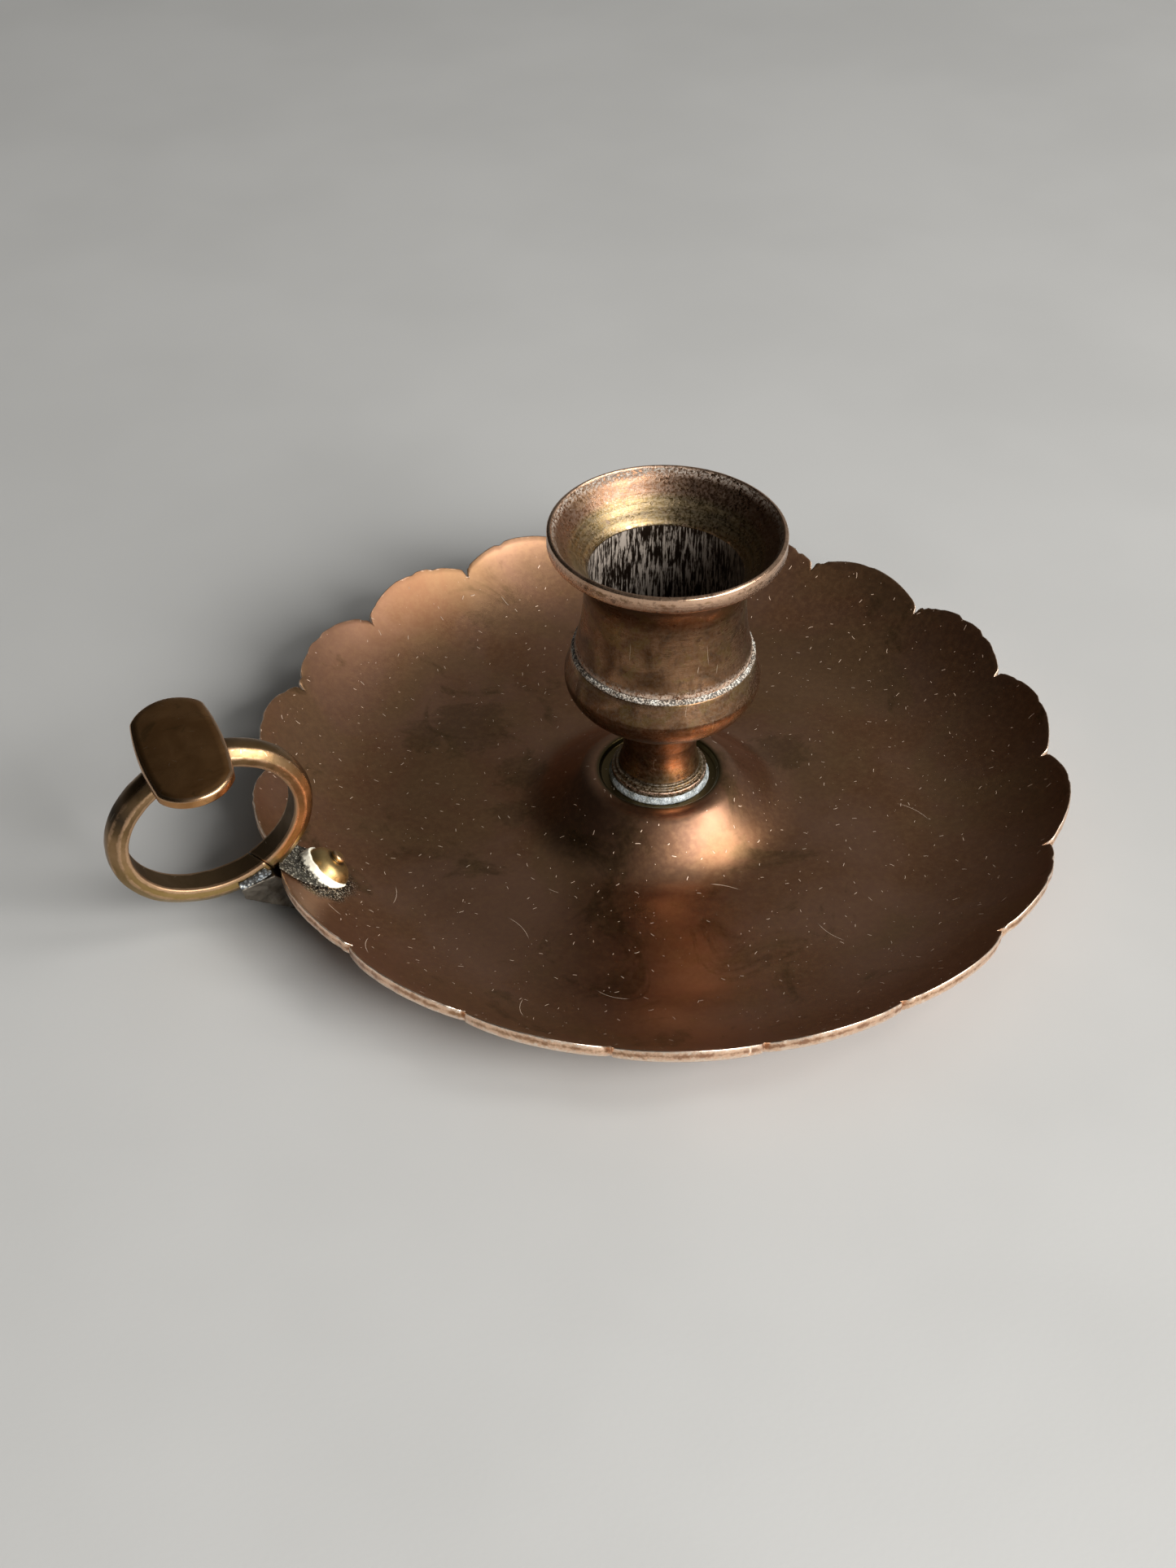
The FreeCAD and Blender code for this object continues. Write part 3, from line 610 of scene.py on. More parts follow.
FINISHES = {
    "pan": pan_finish(),
    "bowl": turned_finish("turned brass bowl"),
    "socket": turned_finish("turned brass socket"),
    "bore": bore_finish(),
    **{name: handle_finish(name + " brass", light, deep, rough)
       for name, light, deep, rough in (
           ("handle", (0.34, 0.21, 0.105), (0.20, 0.12, 0.050), 0.28),
           ("plate", (0.54, 0.28, 0.115), (0.33, 0.160, 0.058), 0.25),
           ("rivet", (0.66, 0.47, 0.20), (0.34, 0.22, 0.09), 0.36),
           ("bracket", (0.27, 0.24, 0.20), (0.09, 0.075, 0.058), 0.38),
           ("fastener", (0.44, 0.28, 0.16), (0.28, 0.17, 0.08), 0.28))},
    **{name: solder_finish(name, pale, dark, *rest)
       for name, pale, dark, *rest in (
           ("grey solder", (0.19, 0.18, 0.135), (0.05, 0.045, 0.032), 0.42, 0.5, 0.16),
           ("blue solder", (0.30, 0.34, 0.37), (0.06, 0.065, 0.065), 0.5, 0.3),
           ("pale solder", (0.60, 0.66, 0.69), (0.22, 0.24, 0.23), 0.25, 0.1, 0.03, 0.35),
           ("dark solder", (0.10, 0.10, 0.10), (0.03, 0.03, 0.03), 0.4, 0.4),
           ("white residue", (0.80, 0.76, 0.68), (0.36, 0.27, 0.20), 0.28, 0.15))},
}


# ---------------------------------------------------------------- outlines

def line_to(points, r, z, rise=0.0, step=0.12):
    """Carries an outline on to (r, z), straight or with a bulge to its left."""
    r0, z0 = points[-1]
    dr, dz = r - r0, z - z0
    length = math.hypot(dr, dz)
    count = max(1, round(length / step))
    nr, nz = -dz / length, dr / length
    if abs(rise) < 1e-6:
        for i in range(1, count + 1):
            points.append((r0 + dr * i / count, z0 + dz * i / count))
        return
    radius = (length ** 2 / 4 + rise ** 2) / (2 * abs(rise))
    half = math.asin(min(1.0, length / 2 / radius))
    for i in range(1, count + 1):
        turn = -half + 2 * half * i / count
        along = 0.5 + math.sin(turn) * radius / length
        lift = (math.cos(turn) - math.cos(half)) * radius * math.copysign(1, rise)
        points.append((r0 + dr * along + nr * lift, z0 + dz * along + nz * lift))


def outline(*stops):
    """Points through stops, each (r, z) or (r, z, rise)."""
    points = [stops[0]]
    for stop in stops[1:]:
        line_to(points, *stop)
    return points


def sweep_to(points, centre, radius, start, end, step=0.12):
    """Adds an arc about centre, angles in degrees from +R towards +Z."""
    count = max(2, round(abs(math.radians(end - start)) * radius / step))
    for i in range(1, count + 1):
        turn = math.radians(start + (end - start) * i / count)
        points.append((centre[0] + radius * math.cos(turn), centre[1] + radius * math.sin(turn)))


def dress(points, closed, soften=3, coarse=0.9, bend=5.0):
    """Softens an outline's corners, drops points where it runs straight, and
    works out how sharp its edges and hollows are. Returns rows of
    (r, z, edge, hollow)."""
    even = [points[0]]
    for a, b in zip(points, points[1:]):
        length = math.dist(a, b)
        count = max(1, round(length / 0.1))
        for i in range(1, count + 1):
            even.append((a[0] + (b[0] - a[0]) * i / count, a[1] + (b[1] - a[1]) * i / count))
    if closed and math.dist(even[0], even[-1]) < 1e-6:
        even.pop()
    total = len(even)
    for _ in range(soften):
        fresh = list(even)
        for i in range(total):
            if not closed and i in (0, total - 1):
                continue
            before, here, after = even[i - 1], even[i], even[(i + 1) % total]
            fresh[i] = tuple(0.25 * before[k] + 0.5 * here[k] + 0.25 * after[k] for k in (0, 1))
        even = fresh
    area = sum(even[i - 1][0] * even[i][1] - even[i][0] * even[i - 1][1] for i in range(total))
    inward = math.copysign(1.0, area)
    turns = []
    for i in range(total):
        if not closed and i in (0, total - 1):
            turns.append(0.0)
            continue
        before, here, after = even[i - 1], even[i], even[(i + 1) % total]
        first = math.atan2(here[1] - before[1], here[0] - before[0])
        second = math.atan2(after[1] - here[1], after[0] - here[0])
        turns.append(math.degrees((second - first + math.pi) % math.tau - math.pi) * inward)
    reach = 4
    rows = []
    gone, bent = coarse, 0.0
    for i in range(total):
        if closed:
            near = [turns[(i + k) % total] for k in range(-reach, reach + 1)]
        else:
            near = turns[max(0, i - reach):i + reach + 1]
        sharp = sum(near)
        bent += abs(turns[i])
        gone += 0.1
        last = not closed and i == total - 1
        if gone >= coarse or bent >= bend or last:
            edge = min(1.0, max(0.0, (sharp - 12.0) / 50.0))
            hollow = min(1.0, max(0.0, (-sharp - 12.0) / 50.0))
            rows.append((even[i][0], even[i][1], edge, hollow))
            gone, bent = 0.0, 0.0
    return rows


class Form(Net):
    """A geometry tree that carries an outline's points round the Z axis."""

    def __init__(self, name, takes):
        net, self.takes, self.gives = new_group(
            name, "GeometryNodeTree",
            {"Outline": "Geometry", "Points Along": 100, "Seed": 1, "Finish": "Material", **takes},
            {"Piece": "Geometry"})
        super().__init__(net.tree)

    def unroll(self, steps):
        """Flat grid with a row for each outline point. Returns the grid and how
        far round it each point is, from 0 to 1."""
        grid = self.add("GeometryNodeMeshGrid", {
            "Size X": 1.0, "Size Y": 1.0, "Vertices X": self.plus(steps, 1.0),
            "Vertices Y": self.takes["Points Along"]})
        x, y, _ = self.apart(self.add("GeometryNodeInputPosition").outputs[0])
        last = self.minus(self.takes["Points Along"], 1.0)
        self.row = self.maths("ROUND", self.times(self.plus(y, 0.5), last))
        return grid.outputs["Mesh"], self.plus(x, 0.5)

    def from_outline(self, kind, value):
        node = self.add("GeometryNodeSampleIndex", {"Geometry": self.takes["Outline"]}, data_type=kind)
        self.feed(node.inputs["Value"], value)
        self.feed(node.inputs["Index"], self.row)
        return node.outputs[0]

    def outline_place(self):
        return self.from_outline("FLOAT_VECTOR", self.add("GeometryNodeInputPosition").outputs[0])

    def mark(self, name):
        named = self.add("GeometryNodeInputNamedAttribute", {"Name": name}, data_type="FLOAT")
        return self.from_outline("FLOAT", named.outputs[0])

    def wave(self, place, scale):
        """Slow seeded noise about nought."""
        noise_node = self.add("ShaderNodeTexNoise", {
            "Vector": place, "Scale": scale, "Detail": 1.0, "W": self.takes["Seed"]},
            noise_dimensions="4D")
        return self.minus(noise_node.outputs["Fac"], 0.5)

    def done(self, piece, place, marks):
        """Stores the marks, moves the grid's points to place, and closes the form."""
        for name in marks:
            store = self.add("GeometryNodeStoreNamedAttribute", {"Geometry": piece, "Name": name},
                             data_type="FLOAT", domain="POINT")
            self.feed(store.inputs["Value"], self.mark(name))
            piece = store.outputs[0]
        for kind, inputs in (("SetPosition", {"Position": place}),
                             ("MergeByDistance", {"Distance": 0.000004}),
                             ("SetShadeSmooth", {"Shade Smooth": True}),
                             ("RealizeInstances", {}),
                             ("SetMaterial", {"Material": self.takes["Finish"]})):
            piece = self.add("GeometryNode" + kind, {"Geometry": piece, **inputs}).outputs[0]
        self.feed(self.gives["Piece"], piece)
        return self.tree


def turned_tree():
    """Geometry nodes that turn an outline about the Z axis."""
    net = Form("turned form", {"Steps Around": 160, "Unevenness": 0.00002})
    grid, share = net.unroll(net.takes["Steps Around"])
    turn = net.times(share, math.tau)
    spun = net.add("ShaderNodeVectorRotate", {"Vector": net.outline_place(), "Angle": turn},
                   rotation_type="Z_AXIS").outputs[0]
    outwards = net.vectors("NORMALIZE", net.vectors("MULTIPLY", spun, (1.0, 1.0, 0.0)))
    shift = net.times(net.wave(spun, 180.0), net.takes["Unevenness"])
    final = net.vectors("ADD", spun, net.vectors("SCALE", outwards, shift))
    return net.done(grid, final, ("edge", "hollow", "inside", "gilt", "chalk"))


def scalloped_tree():
    """Geometry nodes for a sheet turned about Z whose wall ends in lobes. The
    outline's points on the wall carry how far up the wall they are and how
    deep in the sheet."""
    net = Form("scalloped sheet", {
        "Steps Per Lobe": 36, "Lobes": 18, "Notch Radius": 0.06, "Tip Radius": 0.063,
        "Floor Radius": 0.04, "Wall Radius": 0.03, "Nick": 0.0004, "Nick Width": 0.5,
        "Filing": 0.0003, "Lobe Spread": 0.0003, "Waviness": 0.0002})
    takes = net.takes
    steps = net.times(takes["Lobes"], takes["Steps Per Lobe"])
    grid, round_share = net.unroll(steps)

    # Place within a lobe from -1 to 1, with the steps crowded towards the notches
    column = net.maths("ROUND", net.times(round_share, steps))
    share = net.over(column, takes["Steps Per Lobe"])
    lobe = net.maths("FLOOR", net.plus(share, 0.0001))
    within = net.times_plus(net.minus(share, lobe), 2.0, -1.0)
    crowded = net.maths("SINE", net.times(within, math.pi / 2))
    half_lobe = net.over(math.pi, takes["Lobes"])
    local = net.times(crowded, half_lobe)
    middle = net.times(net.times_plus(lobe, 2.0, 1.0), half_lobe)
    turn = net.plus(middle, local)
    cosine, sine = net.maths("COSINE", turn), net.maths("SINE", turn)

    # Plan of a lobe: an arc through both notches and the tip
    number = net.maths("MODULO", lobe, takes["Lobes"])
    dice = net.add("ShaderNodeTexWhiteNoise", {"W": net.plus(number, takes["Seed"])},
                   noise_dimensions="1D").outputs["Value"]
    tip = net.plus(takes["Tip Radius"], net.times(net.minus(dice, 1.0), takes["Lobe Spread"]))
    notch = takes["Notch Radius"]
    squares = net.minus(net.times(tip, tip), net.times(notch, notch))
    chord = net.minus(tip, net.times(notch, net.maths("COSINE", half_lobe)))
    centre = net.over(squares, net.times(chord, 2.0))
    bend = net.minus(tip, centre)
    side = net.times(centre, net.maths("SINE", local))
    reach = net.maths("SQRT", net.minus(net.times(bend, bend), net.times(side, side)))
    rim = net.plus(net.times(centre, net.maths("COSINE", local)), reach)
    away = net.minus(half_lobe, net.maths("ABSOLUTE", local))
    nicked = net.span(away, net.times(takes["Nick Width"], 0.0175), 0.0)
    rim = net.minus(rim, net.times(nicked, takes["Nick"]))
    filed = net.add("ShaderNodeTexNoise", {"Vector": net.together(cosine, sine, 0.0), "Scale": 26.0,
                                           "Detail": 3.0, "Roughness": 0.7}).outputs["Fac"]
    rim = net.minus(rim, net.times(net.span(filed, 0.5, 0.7), takes["Filing"]))

    # The wall is an arc that each meridian follows up to its own rim
    climb = net.mark("climb")
    across = net.plus(takes["Wall Radius"], net.mark("depth"))
    own = net.maths("ARCSINE", net.over(net.minus(rim, takes["Floor Radius"]), across))
    angle = net.times(climb, own)
    wall_r = net.times_plus(across, net.maths("SINE", angle), takes["Floor Radius"])
    flat_r, _, flat_z = net.apart(net.outline_place())
    wall_z = net.minus(net.plus(net.mark("top"), takes["Wall Radius"]),
                       net.times(across, net.maths("COSINE", angle)))
    on_wall = net.maths("GREATER_THAN", climb, 0.0)
    radius, height = (
        net.add("ShaderNodeMix", {0: on_wall, 2: flat, 3: wall}, data_type="FLOAT").outputs[0]
        for flat, wall in ((flat_r, wall_r), (flat_z, wall_z)))
    spun = net.together(net.times(radius, cosine), net.times(radius, sine), height)
    # A hand-raised wall isn't quite true, and the same slow wave lifts both faces
    wave = net.wave(net.vectors("MULTIPLY", spun, (1.0, 1.0, 0.0)), 42.0)
    lift = net.times(net.times(wave, takes["Waviness"]), net.span(climb, 0.05, 0.6))
    final = net.vectors("ADD", spun, net.together(0.0, 0.0, lift))
    return net.done(grid, final, ("edge", "hollow", "climb"))


TURNED = turned_tree()
SCALLOPED = scalloped_tree()


def outline_object(rows, closed, marks):
    """Mesh of an outline's points and edges in the XZ plane, with its marks."""
    mesh = bpy.data.meshes.new("outline")
    points = [(row[0] * MM, 0.0, row[1] * MM) for row in rows]
    if closed:
        points.append(points[0])
    mesh.from_pydata(points, [(i, i + 1) for i in range(len(points) - 1)], [])
    for name, values in marks.items():
        layer = mesh.attributes.new(name, "FLOAT", "POINT")
        if closed:
            values = values + values[:1]
        layer.data.foreach_set("value", values)
    thing = bpy.data.objects.new("outline", mesh)
    bpy.context.scene.collection.objects.link(thing)
    return thing, len(points)


def grow(name, source, tree, **inputs):
    """Runs a geometry tree on source and keeps its result as a plain mesh."""
    modifier = source.modifiers.new("form", "NODES")
    modifier.node_group = tree
    for item in tree.interface.items_tree:
        if item.in_out == "INPUT" and item.name.replace(" ", "_") in inputs:
            modifier[item.identifier] = inputs[item.name.replace(" ", "_")]
    graph = bpy.context.evaluated_depsgraph_get()
    mesh = bpy.data.meshes.new_from_object(source.evaluated_get(graph))
    mesh.name = name
    source.modifiers.remove(modifier)
    bpy.data.objects.remove(source)
    return finished(name, mesh)


def finished(name, mesh, material=None):
    """Object at the origin with outward normals and smooth faces."""
    form = bmesh.new()
    form.from_mesh(mesh)
    bmesh.ops.remove_doubles(form, verts=form.verts, dist=0.000002)
    loose = [vert for vert in form.verts if not vert.link_faces]
    bmesh.ops.delete(form, geom=loose, context="VERTS")
    bmesh.ops.recalc_face_normals(form, faces=form.faces)
    for face in form.faces:
        face.smooth = True
    form.to_mesh(mesh)
    form.free()
    if material is not None:
        mesh.materials.clear()
        mesh.materials.append(material)
    piece = bpy.data.objects.new(name, mesh)
    bpy.context.scene.collection.objects.link(piece)
    return piece


def settle(piece, node):
    """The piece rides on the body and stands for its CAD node."""
    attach(piece, "root")
    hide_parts(node)


def turned_piece(name, rows, closed, finish, around=160, unevenness=0.02, **where):
    """Turned form. where holds functions of (r, z, edge, hollow) for its marks."""
    marks = {"edge": [row[2] for row in rows], "hollow": [row[3] for row in rows]}
    for mark in ("inside", "gilt", "chalk"):
        marks[mark] = [where[mark](*row) if mark in where else 0.0 for row in rows]
    source, count = outline_object(rows, closed, marks)
    return grow(name, source, TURNED, Steps_Around=around, Points_Along=count,
                Unevenness=unevenness * MM, Finish=finish)


# ---------------------------------------------------------------- drip pan

def pan_outline():
    """Rows (r, z, edge, hollow) round the sheet, then how far up the wall and
    how deep in the sheet each one is."""
    run = BOSS_R - SEAT_R - SEAT_LAND
    bends = BOSS_FLARE_R + BOSS_CROWN_R
    straight = math.sqrt(run ** 2 + (BOSS_H - bends) ** 2 - bends ** 2)
    slope = math.degrees(math.atan2(BOSS_H - bends, run) + math.atan2(bends, straight))
    land = SEAT_R + SEAT_LAND

    def side(depth):
        points = outline((TENON_R + FIT, SEAT_Z - depth), (SEAT_R - SEAT_DRAFT, SEAT_Z - depth),
                         (SEAT_R, BOSS_Z - depth), (land, BOSS_Z - depth))
        sweep_to(points, (land, BOSS_Z - BOSS_CROWN_R), BOSS_CROWN_R - depth, 90, 90 - slope)
        flare = (BOSS_R, SHEET_T + BOSS_FLARE_R)
        start = math.radians(270 - slope)
        line_to(points, flare[0] + (BOSS_FLARE_R + depth) * math.cos(start),
                flare[1] + (BOSS_FLARE_R + depth) * math.sin(start))
        sweep_to(points, flare, BOSS_FLARE_R + depth, 270 - slope, 270)
        line_to(points, FLOOR_R, SHEET_T - depth)
        return dress(points, False, soften=5, coarse=1.1, bend=6.0)

    upper, lower = side(0.0), side(SHEET_T)
    # the recess's edge is not rubbed as bright as the rim
    rows = [(r, z, edge * 0.25, hollow, 0.0, 0.0) for r, z, edge, hollow in upper[:-1]]
    wall_steps = 26
    for i in range(wall_steps + 1):
        climb = (i / wall_steps) ** 0.9 * 0.985 + 0.0001
        rows.append((FLOOR_R, SHEET_T, max(0.0, (climb - 0.972) * 40), 0.0, climb, 0.0))
    rim_steps = 10
    for i in range(1, rim_steps):
        turn = math.pi * i / rim_steps
        climb = 0.985 + 0.015 * math.sin(turn) ** 0.7
        depth = SHEET_T * (0.5 - 0.5 * math.cos(turn))
        rows.append((FLOOR_R, SHEET_T, 0.55 + 0.45 * abs(math.cos(turn)), 0.0, climb, depth))
    for i in range(14, -1, -1):
        climb = i / 14 * 0.985 + 0.0001
        rows.append((FLOOR_R, SHEET_T, max(0.0, (climb - 0.972) * 30), 0.0, climb, SHEET_T))
    # the lower face meets the rim, so its rows run back towards the middle
    rows += [(*row, 0.0, SHEET_T) for row in reversed(lower[:-1])]
    return rows


def make_pan():
    rows = pan_outline()
    marks = {
        "edge": [row[2] for row in rows],
        "hollow": [row[3] for row in rows],
        "climb": [row[4] for row in rows],
        "depth": [row[5] * MM for row in rows],
        "top": [SHEET_T * MM] * len(rows),
    }
    source, count = outline_object(rows, True, marks)
    piece = grow("drip_pan_sheet", source, SCALLOPED, Steps_Per_Lobe=32, Points_Along=count,
                 Lobes=LOBES, Notch_Radius=NOTCH_R * MM, Tip_Radius=PAN_R * MM,
                 Floor_Radius=FLOOR_R * MM, Wall_Radius=WALL_R * MM, Nick=0.8 * MM,
                 Nick_Width=0.55, Filing=0.4 * MM, Lobe_Spread=0.25 * MM, Waviness=0.5 * MM, Seed=3,
                 Finish=FINISHES["pan"])
    settle(piece, "drip_pan")


# --------------------------------------------------------- stem and socket

def make_bowl():
    widest = SEAT_Z + BOWL_H
    pocket_r = BORE_R + SPIGOT_WALL + FIT
    pocket_z = widest - BOWL_DEPTH + BOWL_FLOOR
    foot_top = SEAT_Z + FOOT_T
    under_r = NECK_R + FOOT_STEP
    points = outline((0.0, SEAT_Z - TENON_L), (TENON_R, SEAT_Z - TENON_L), (TENON_R, SEAT_Z),
                     (FOOT_R, SEAT_Z), (FOOT_R, foot_top))
    for step in (1, 2):
        line_to(points, FOOT_R - FOOT_STEP * step, foot_top + FOOT_STEP * (step - 1))
        line_to(points, FOOT_R - FOOT_STEP * step, foot_top + FOOT_STEP * step)
    line_to(points, NECK_R, SEAT_Z + NECK_H, 0.5)
    under_z = widest - BOWL_DEPTH * math.sqrt(1 - (under_r / BOWL_R) ** 2)
    line_to(points, under_r, under_z, 0.1)
    first = math.acos(under_r / BOWL_R)
    steps = 89
    for i in range(1, steps + 1):
        turn = first * (1 - i / steps)
        points.append((BOWL_R * math.cos(turn), widest - BOWL_DEPTH * math.sin(turn)))
    for stop in ((BOWL_R, widest + BOWL_BAND), (SHOULDER_R + LEDGE_W, SHOULDER_Z - LEDGE_H),
                 (SHOULDER_R, SHOULDER_Z - LEDGE_H / 2), (SHOULDER_R, SHOULDER_Z),
                 (pocket_r, SHOULDER_Z), (pocket_r, pocket_z), (0.0, pocket_z)):
        line_to(points, *stop)
    rows = dress(points, False)

    # painted highlight: olive-gold tint low on the stem, standing in for the gold sheen of its turned
    # steps
    def gilt(r, z, edge, hollow):
        return max(0.0, min(1.0, (SEAT_Z + 6.0 - z) / 3.0)) * 0.7

    def chalk(r, z, edge, hollow):
        return 0.30 if abs(z - SEAT_Z - 1.2) < 1.6 and r > 6.5 else 0.08 + 0.2 * hollow

    piece = turned_piece("stem_and_bowl", rows, False, FINISHES["bowl"], gilt=gilt, chalk=chalk)
    settle(piece, "stem_bowl")


def make_socket():
    pocket_z = SEAT_Z + BOWL_H - BOWL_DEPTH + BOWL_FLOOR + FIT
    spigot_r = BORE_R + SPIGOT_WALL
    band_low = LIP_Z - LIP_BAND
    points = outline(
        (BORE_R, pocket_z), (spigot_r, pocket_z), (spigot_r, SHOULDER_Z), (SHOULDER_R, SHOULDER_Z),
        (WAIST_R, WAIST_Z, BODY_HOLLOW), (LIP_R - LIP_UNDERCUT, band_low - LIP_BEVEL, NECK_HOLLOW),
        (LIP_R, band_low + LIP_BEVEL), (LIP_R, LIP_Z - LIP_BEVEL), (LIP_R - LIP_EDGE, LIP_Z),
        (GROOVED_R, LIP_Z - GROOVED_DEPTH, 0.12))
    # shallow tool grooves run round the funnel below its polished upper part
    slope = (GROOVED_R - THROAT_R) / (THROAT_DEPTH - GROOVED_DEPTH)
    for drop in GROOVES:
        middle = GROOVED_R - (drop - GROOVED_DEPTH) * slope
        line_to(points, middle + 0.16, LIP_Z - drop + 0.12)
        line_to(points, middle - 0.02, LIP_Z - drop)
    for stop in ((THROAT_R, LIP_Z - THROAT_DEPTH), (BORE_R, LIP_Z - FUNNEL_DEPTH, -0.1),
                 (BORE_R, pocket_z)):
        line_to(points, *stop)
    rows = dress(points, True, soften=2)

    # the lip's band is rubbed nearly as bright as an edge
    rows = [(r, z, max(edge, 0.62) if r > LIP_R - 0.2 and z < LIP_Z - 0.25 else edge, hollow)
            for r, z, edge, hollow in rows]

    def in_funnel(r, z):
        return z > LIP_Z - FUNNEL_DEPTH - 0.05 and r < LIP_R - LIP_EDGE - 0.1 and (
            r < BORE_R + 0.1 + (z - LIP_Z + FUNNEL_DEPTH) * 0.95)

    def inside(r, z, edge, hollow):
        return 1.0 if in_funnel(r, z) else 0.0

    def gilt(r, z, edge, hollow):
        return min(1.0, max(0.0, (LIP_Z - 3.2 - z) / 0.8)) if in_funnel(r, z) else 0.0

    def chalk(r, z, edge, hollow):
        if in_funnel(r, z):
            return 0.75 if 0.5 < LIP_Z - z < 1.5 else 0.15 + 0.6 * hollow
        return 0.7 if z < SHOULDER_Z + 0.5 else 0.05 + 0.2 * hollow

    piece = turned_piece("candle_socket_sleeve", rows, True, FINISHES["socket"], around=192,
                         inside=inside, gilt=gilt, chalk=chalk)
    # the bore's own wall has its own finish
    piece.data.materials.append(FINISHES["bore"])
    bore_slot = len(piece.data.materials) - 1
    limit = (BORE_R + 0.06) * MM
    top = (LIP_Z - FUNNEL_DEPTH - 0.2) * MM
    for face in piece.data.polygons:
        middle = face.center
        if math.hypot(middle.x, middle.y) < limit and middle.z < top:
            face.material_index = bore_slot
    settle(piece, "candle_socket")


def make_fillet(name, node, finish, stops, roughness=0.12):
    """Uneven ring of solder or dried polish that fills a corner."""
    points = [stops[0]]
    for r, z in stops[1:] + stops[:1]:
        line_to(points, r, z, 0.0, 0.08)
    rows = dress(points, True, soften=1, coarse=0.16, bend=25.0)
    piece = turned_piece(name, rows, True, finish, around=320, unevenness=0.0)
    for vert in piece.data.vertices:
        place = vert.co / MM
        lump = noise.noise(place * 1.7) + 0.6 * noise.noise(place * 4.1)
        away = Vector((place.x, place.y, 0.0)).normalized()
        vert.co += (away + Vector((0, 0, 0.6))) * lump * roughness * MM
    settle(piece, node)


# ------------------------------------------------------------------ handle

def outward(distance, height):
    return Vector((-distance, 0.0, height))


def tilted(angle):
    """Direction in the handle's plane, degrees up from outwards."""
    return outward(math.cos(math.radians(angle)), math.sin(math.radians(angle)))


def wall_height(radius):
    return SHEET_T + WALL_R - math.sqrt(WALL_R ** 2 - (radius - FLOOR_R) ** 2)


ACROSS = Vector((0, 1, 0))
LONG = tilted(-RING_DROP)
SHORT = tilted(90 - RING_DROP)
RING_SIDE_R = ((RING_HALF_LONG - RING_END_R) ** 2 + RING_HALF_SHORT ** 2 - RING_END_R ** 2) / (
    2 * (RING_HALF_SHORT - RING_END_R))
SIDE_OFFSET = RING_SIDE_R - RING_HALF_SHORT
END_OFFSET = RING_HALF_LONG - RING_END_R
END_HALF = math.atan2(SIDE_OFFSET, END_OFFSET)
SIDE_HALF = math.pi / 2 - END_HALF
RISE = tilted(RING_RISE)
LOW_SIDE_CENTRE = outward(NOTCH_R, wall_height(NOTCH_R)) + RISE * (RING_SIDE_R + RING_T + RING_GAP)
RING_CENTRE = LOW_SIDE_CENTRE - SHORT * SIDE_OFFSET
TOP_SIDE_CENTRE = RING_CENTRE - SHORT * SIDE_OFFSET


def oval(turn):
    """Point of the ring's inner oval and its outward direction there. turn goes
    round once, from the far end of the long axis over the top."""
    turn = turn % math.tau
    arcs = [
        (RING_CENTRE + LONG * END_OFFSET, RING_END_R, -END_HALF, END_HALF),
        (RING_CENTRE - SHORT * SIDE_OFFSET, RING_SIDE_R, END_HALF, math.pi - END_HALF),
        (RING_CENTRE - LONG * END_OFFSET, RING_END_R, math.pi - END_HALF, math.pi + END_HALF),
        (RING_CENTRE + SHORT * SIDE_OFFSET, RING_SIDE_R, math.pi + END_HALF, math.tau - END_HALF),
    ]
    if turn > math.tau - END_HALF:
        turn -= math.tau
    for centre, radius, first, last in arcs:
        if first <= turn <= last:
            away = LONG * math.cos(turn) + SHORT * math.sin(turn)
            return centre + away * radius, away
    raise ValueError(turn)


def ring_section():
    """Bar's section with rounded corners: (rise, across, edge, hollow)."""
    corners = [(0.0, -RING_FLAT_W / 2), (0.0, RING_FLAT_W / 2), (RING_T / 2, RING_W / 2)]
    crown = RING_CROWN_W / 2
    for i in range(7):
        across = crown * (1 - i / 3)
        corners.append((RING_T - RING_CROWN + RING_CROWN * (1 - (across / crown) ** 2), across))
    corners.append((RING_T / 2, -RING_W / 2))
    points = [corners[0]]
    for rise, across in corners[1:] + corners[:1]:
        line_to(points, rise, across, 0.0, 0.1)
    return dress(points, True, soften=6, coarse=0.42, bend=9.0)


def loft(name, loops, finish, capped):
    """Skin over loops of points, each (place, edge, hollow, painted shade, painted reflection of the
    pan). Closed at its two ends with a face each, or sewn up where the end loops close to a line."""
    form = bmesh.new()
    layers = [form.verts.layers.float.new(mark) for mark in ("edge", "hollow", "under_shade", "gold")]
    corners = []
    for loop in loops:
        corners.append([form.verts.new(point[0] * MM) for point in loop])
        for vert, point in zip(corners[-1], loop):
            for layer, value in zip(layers, point[1:]):
                vert[layer] = value
    for first, second in zip(corners, corners[1:]):
        for k in range(len(first)):
            after = (k + 1) % len(first)
            form.faces.new((first[k], first[after], second[after], second[k]))
    if capped:
        form.faces.new(corners[0])
        form.faces.new(list(reversed(corners[-1])))
    else:
        bmesh.ops.remove_doubles(form, verts=form.verts, dist=0.00001)
        bmesh.ops.dissolve_degenerate(form, edges=form.edges, dist=0.000002)
        bmesh.ops.holes_fill(form, edges=[edge for edge in form.edges if edge.is_boundary], sides=0)
    mesh = bpy.data.meshes.new(name)
    form.to_mesh(mesh)
    form.free()
    return finished(name, mesh, finish)


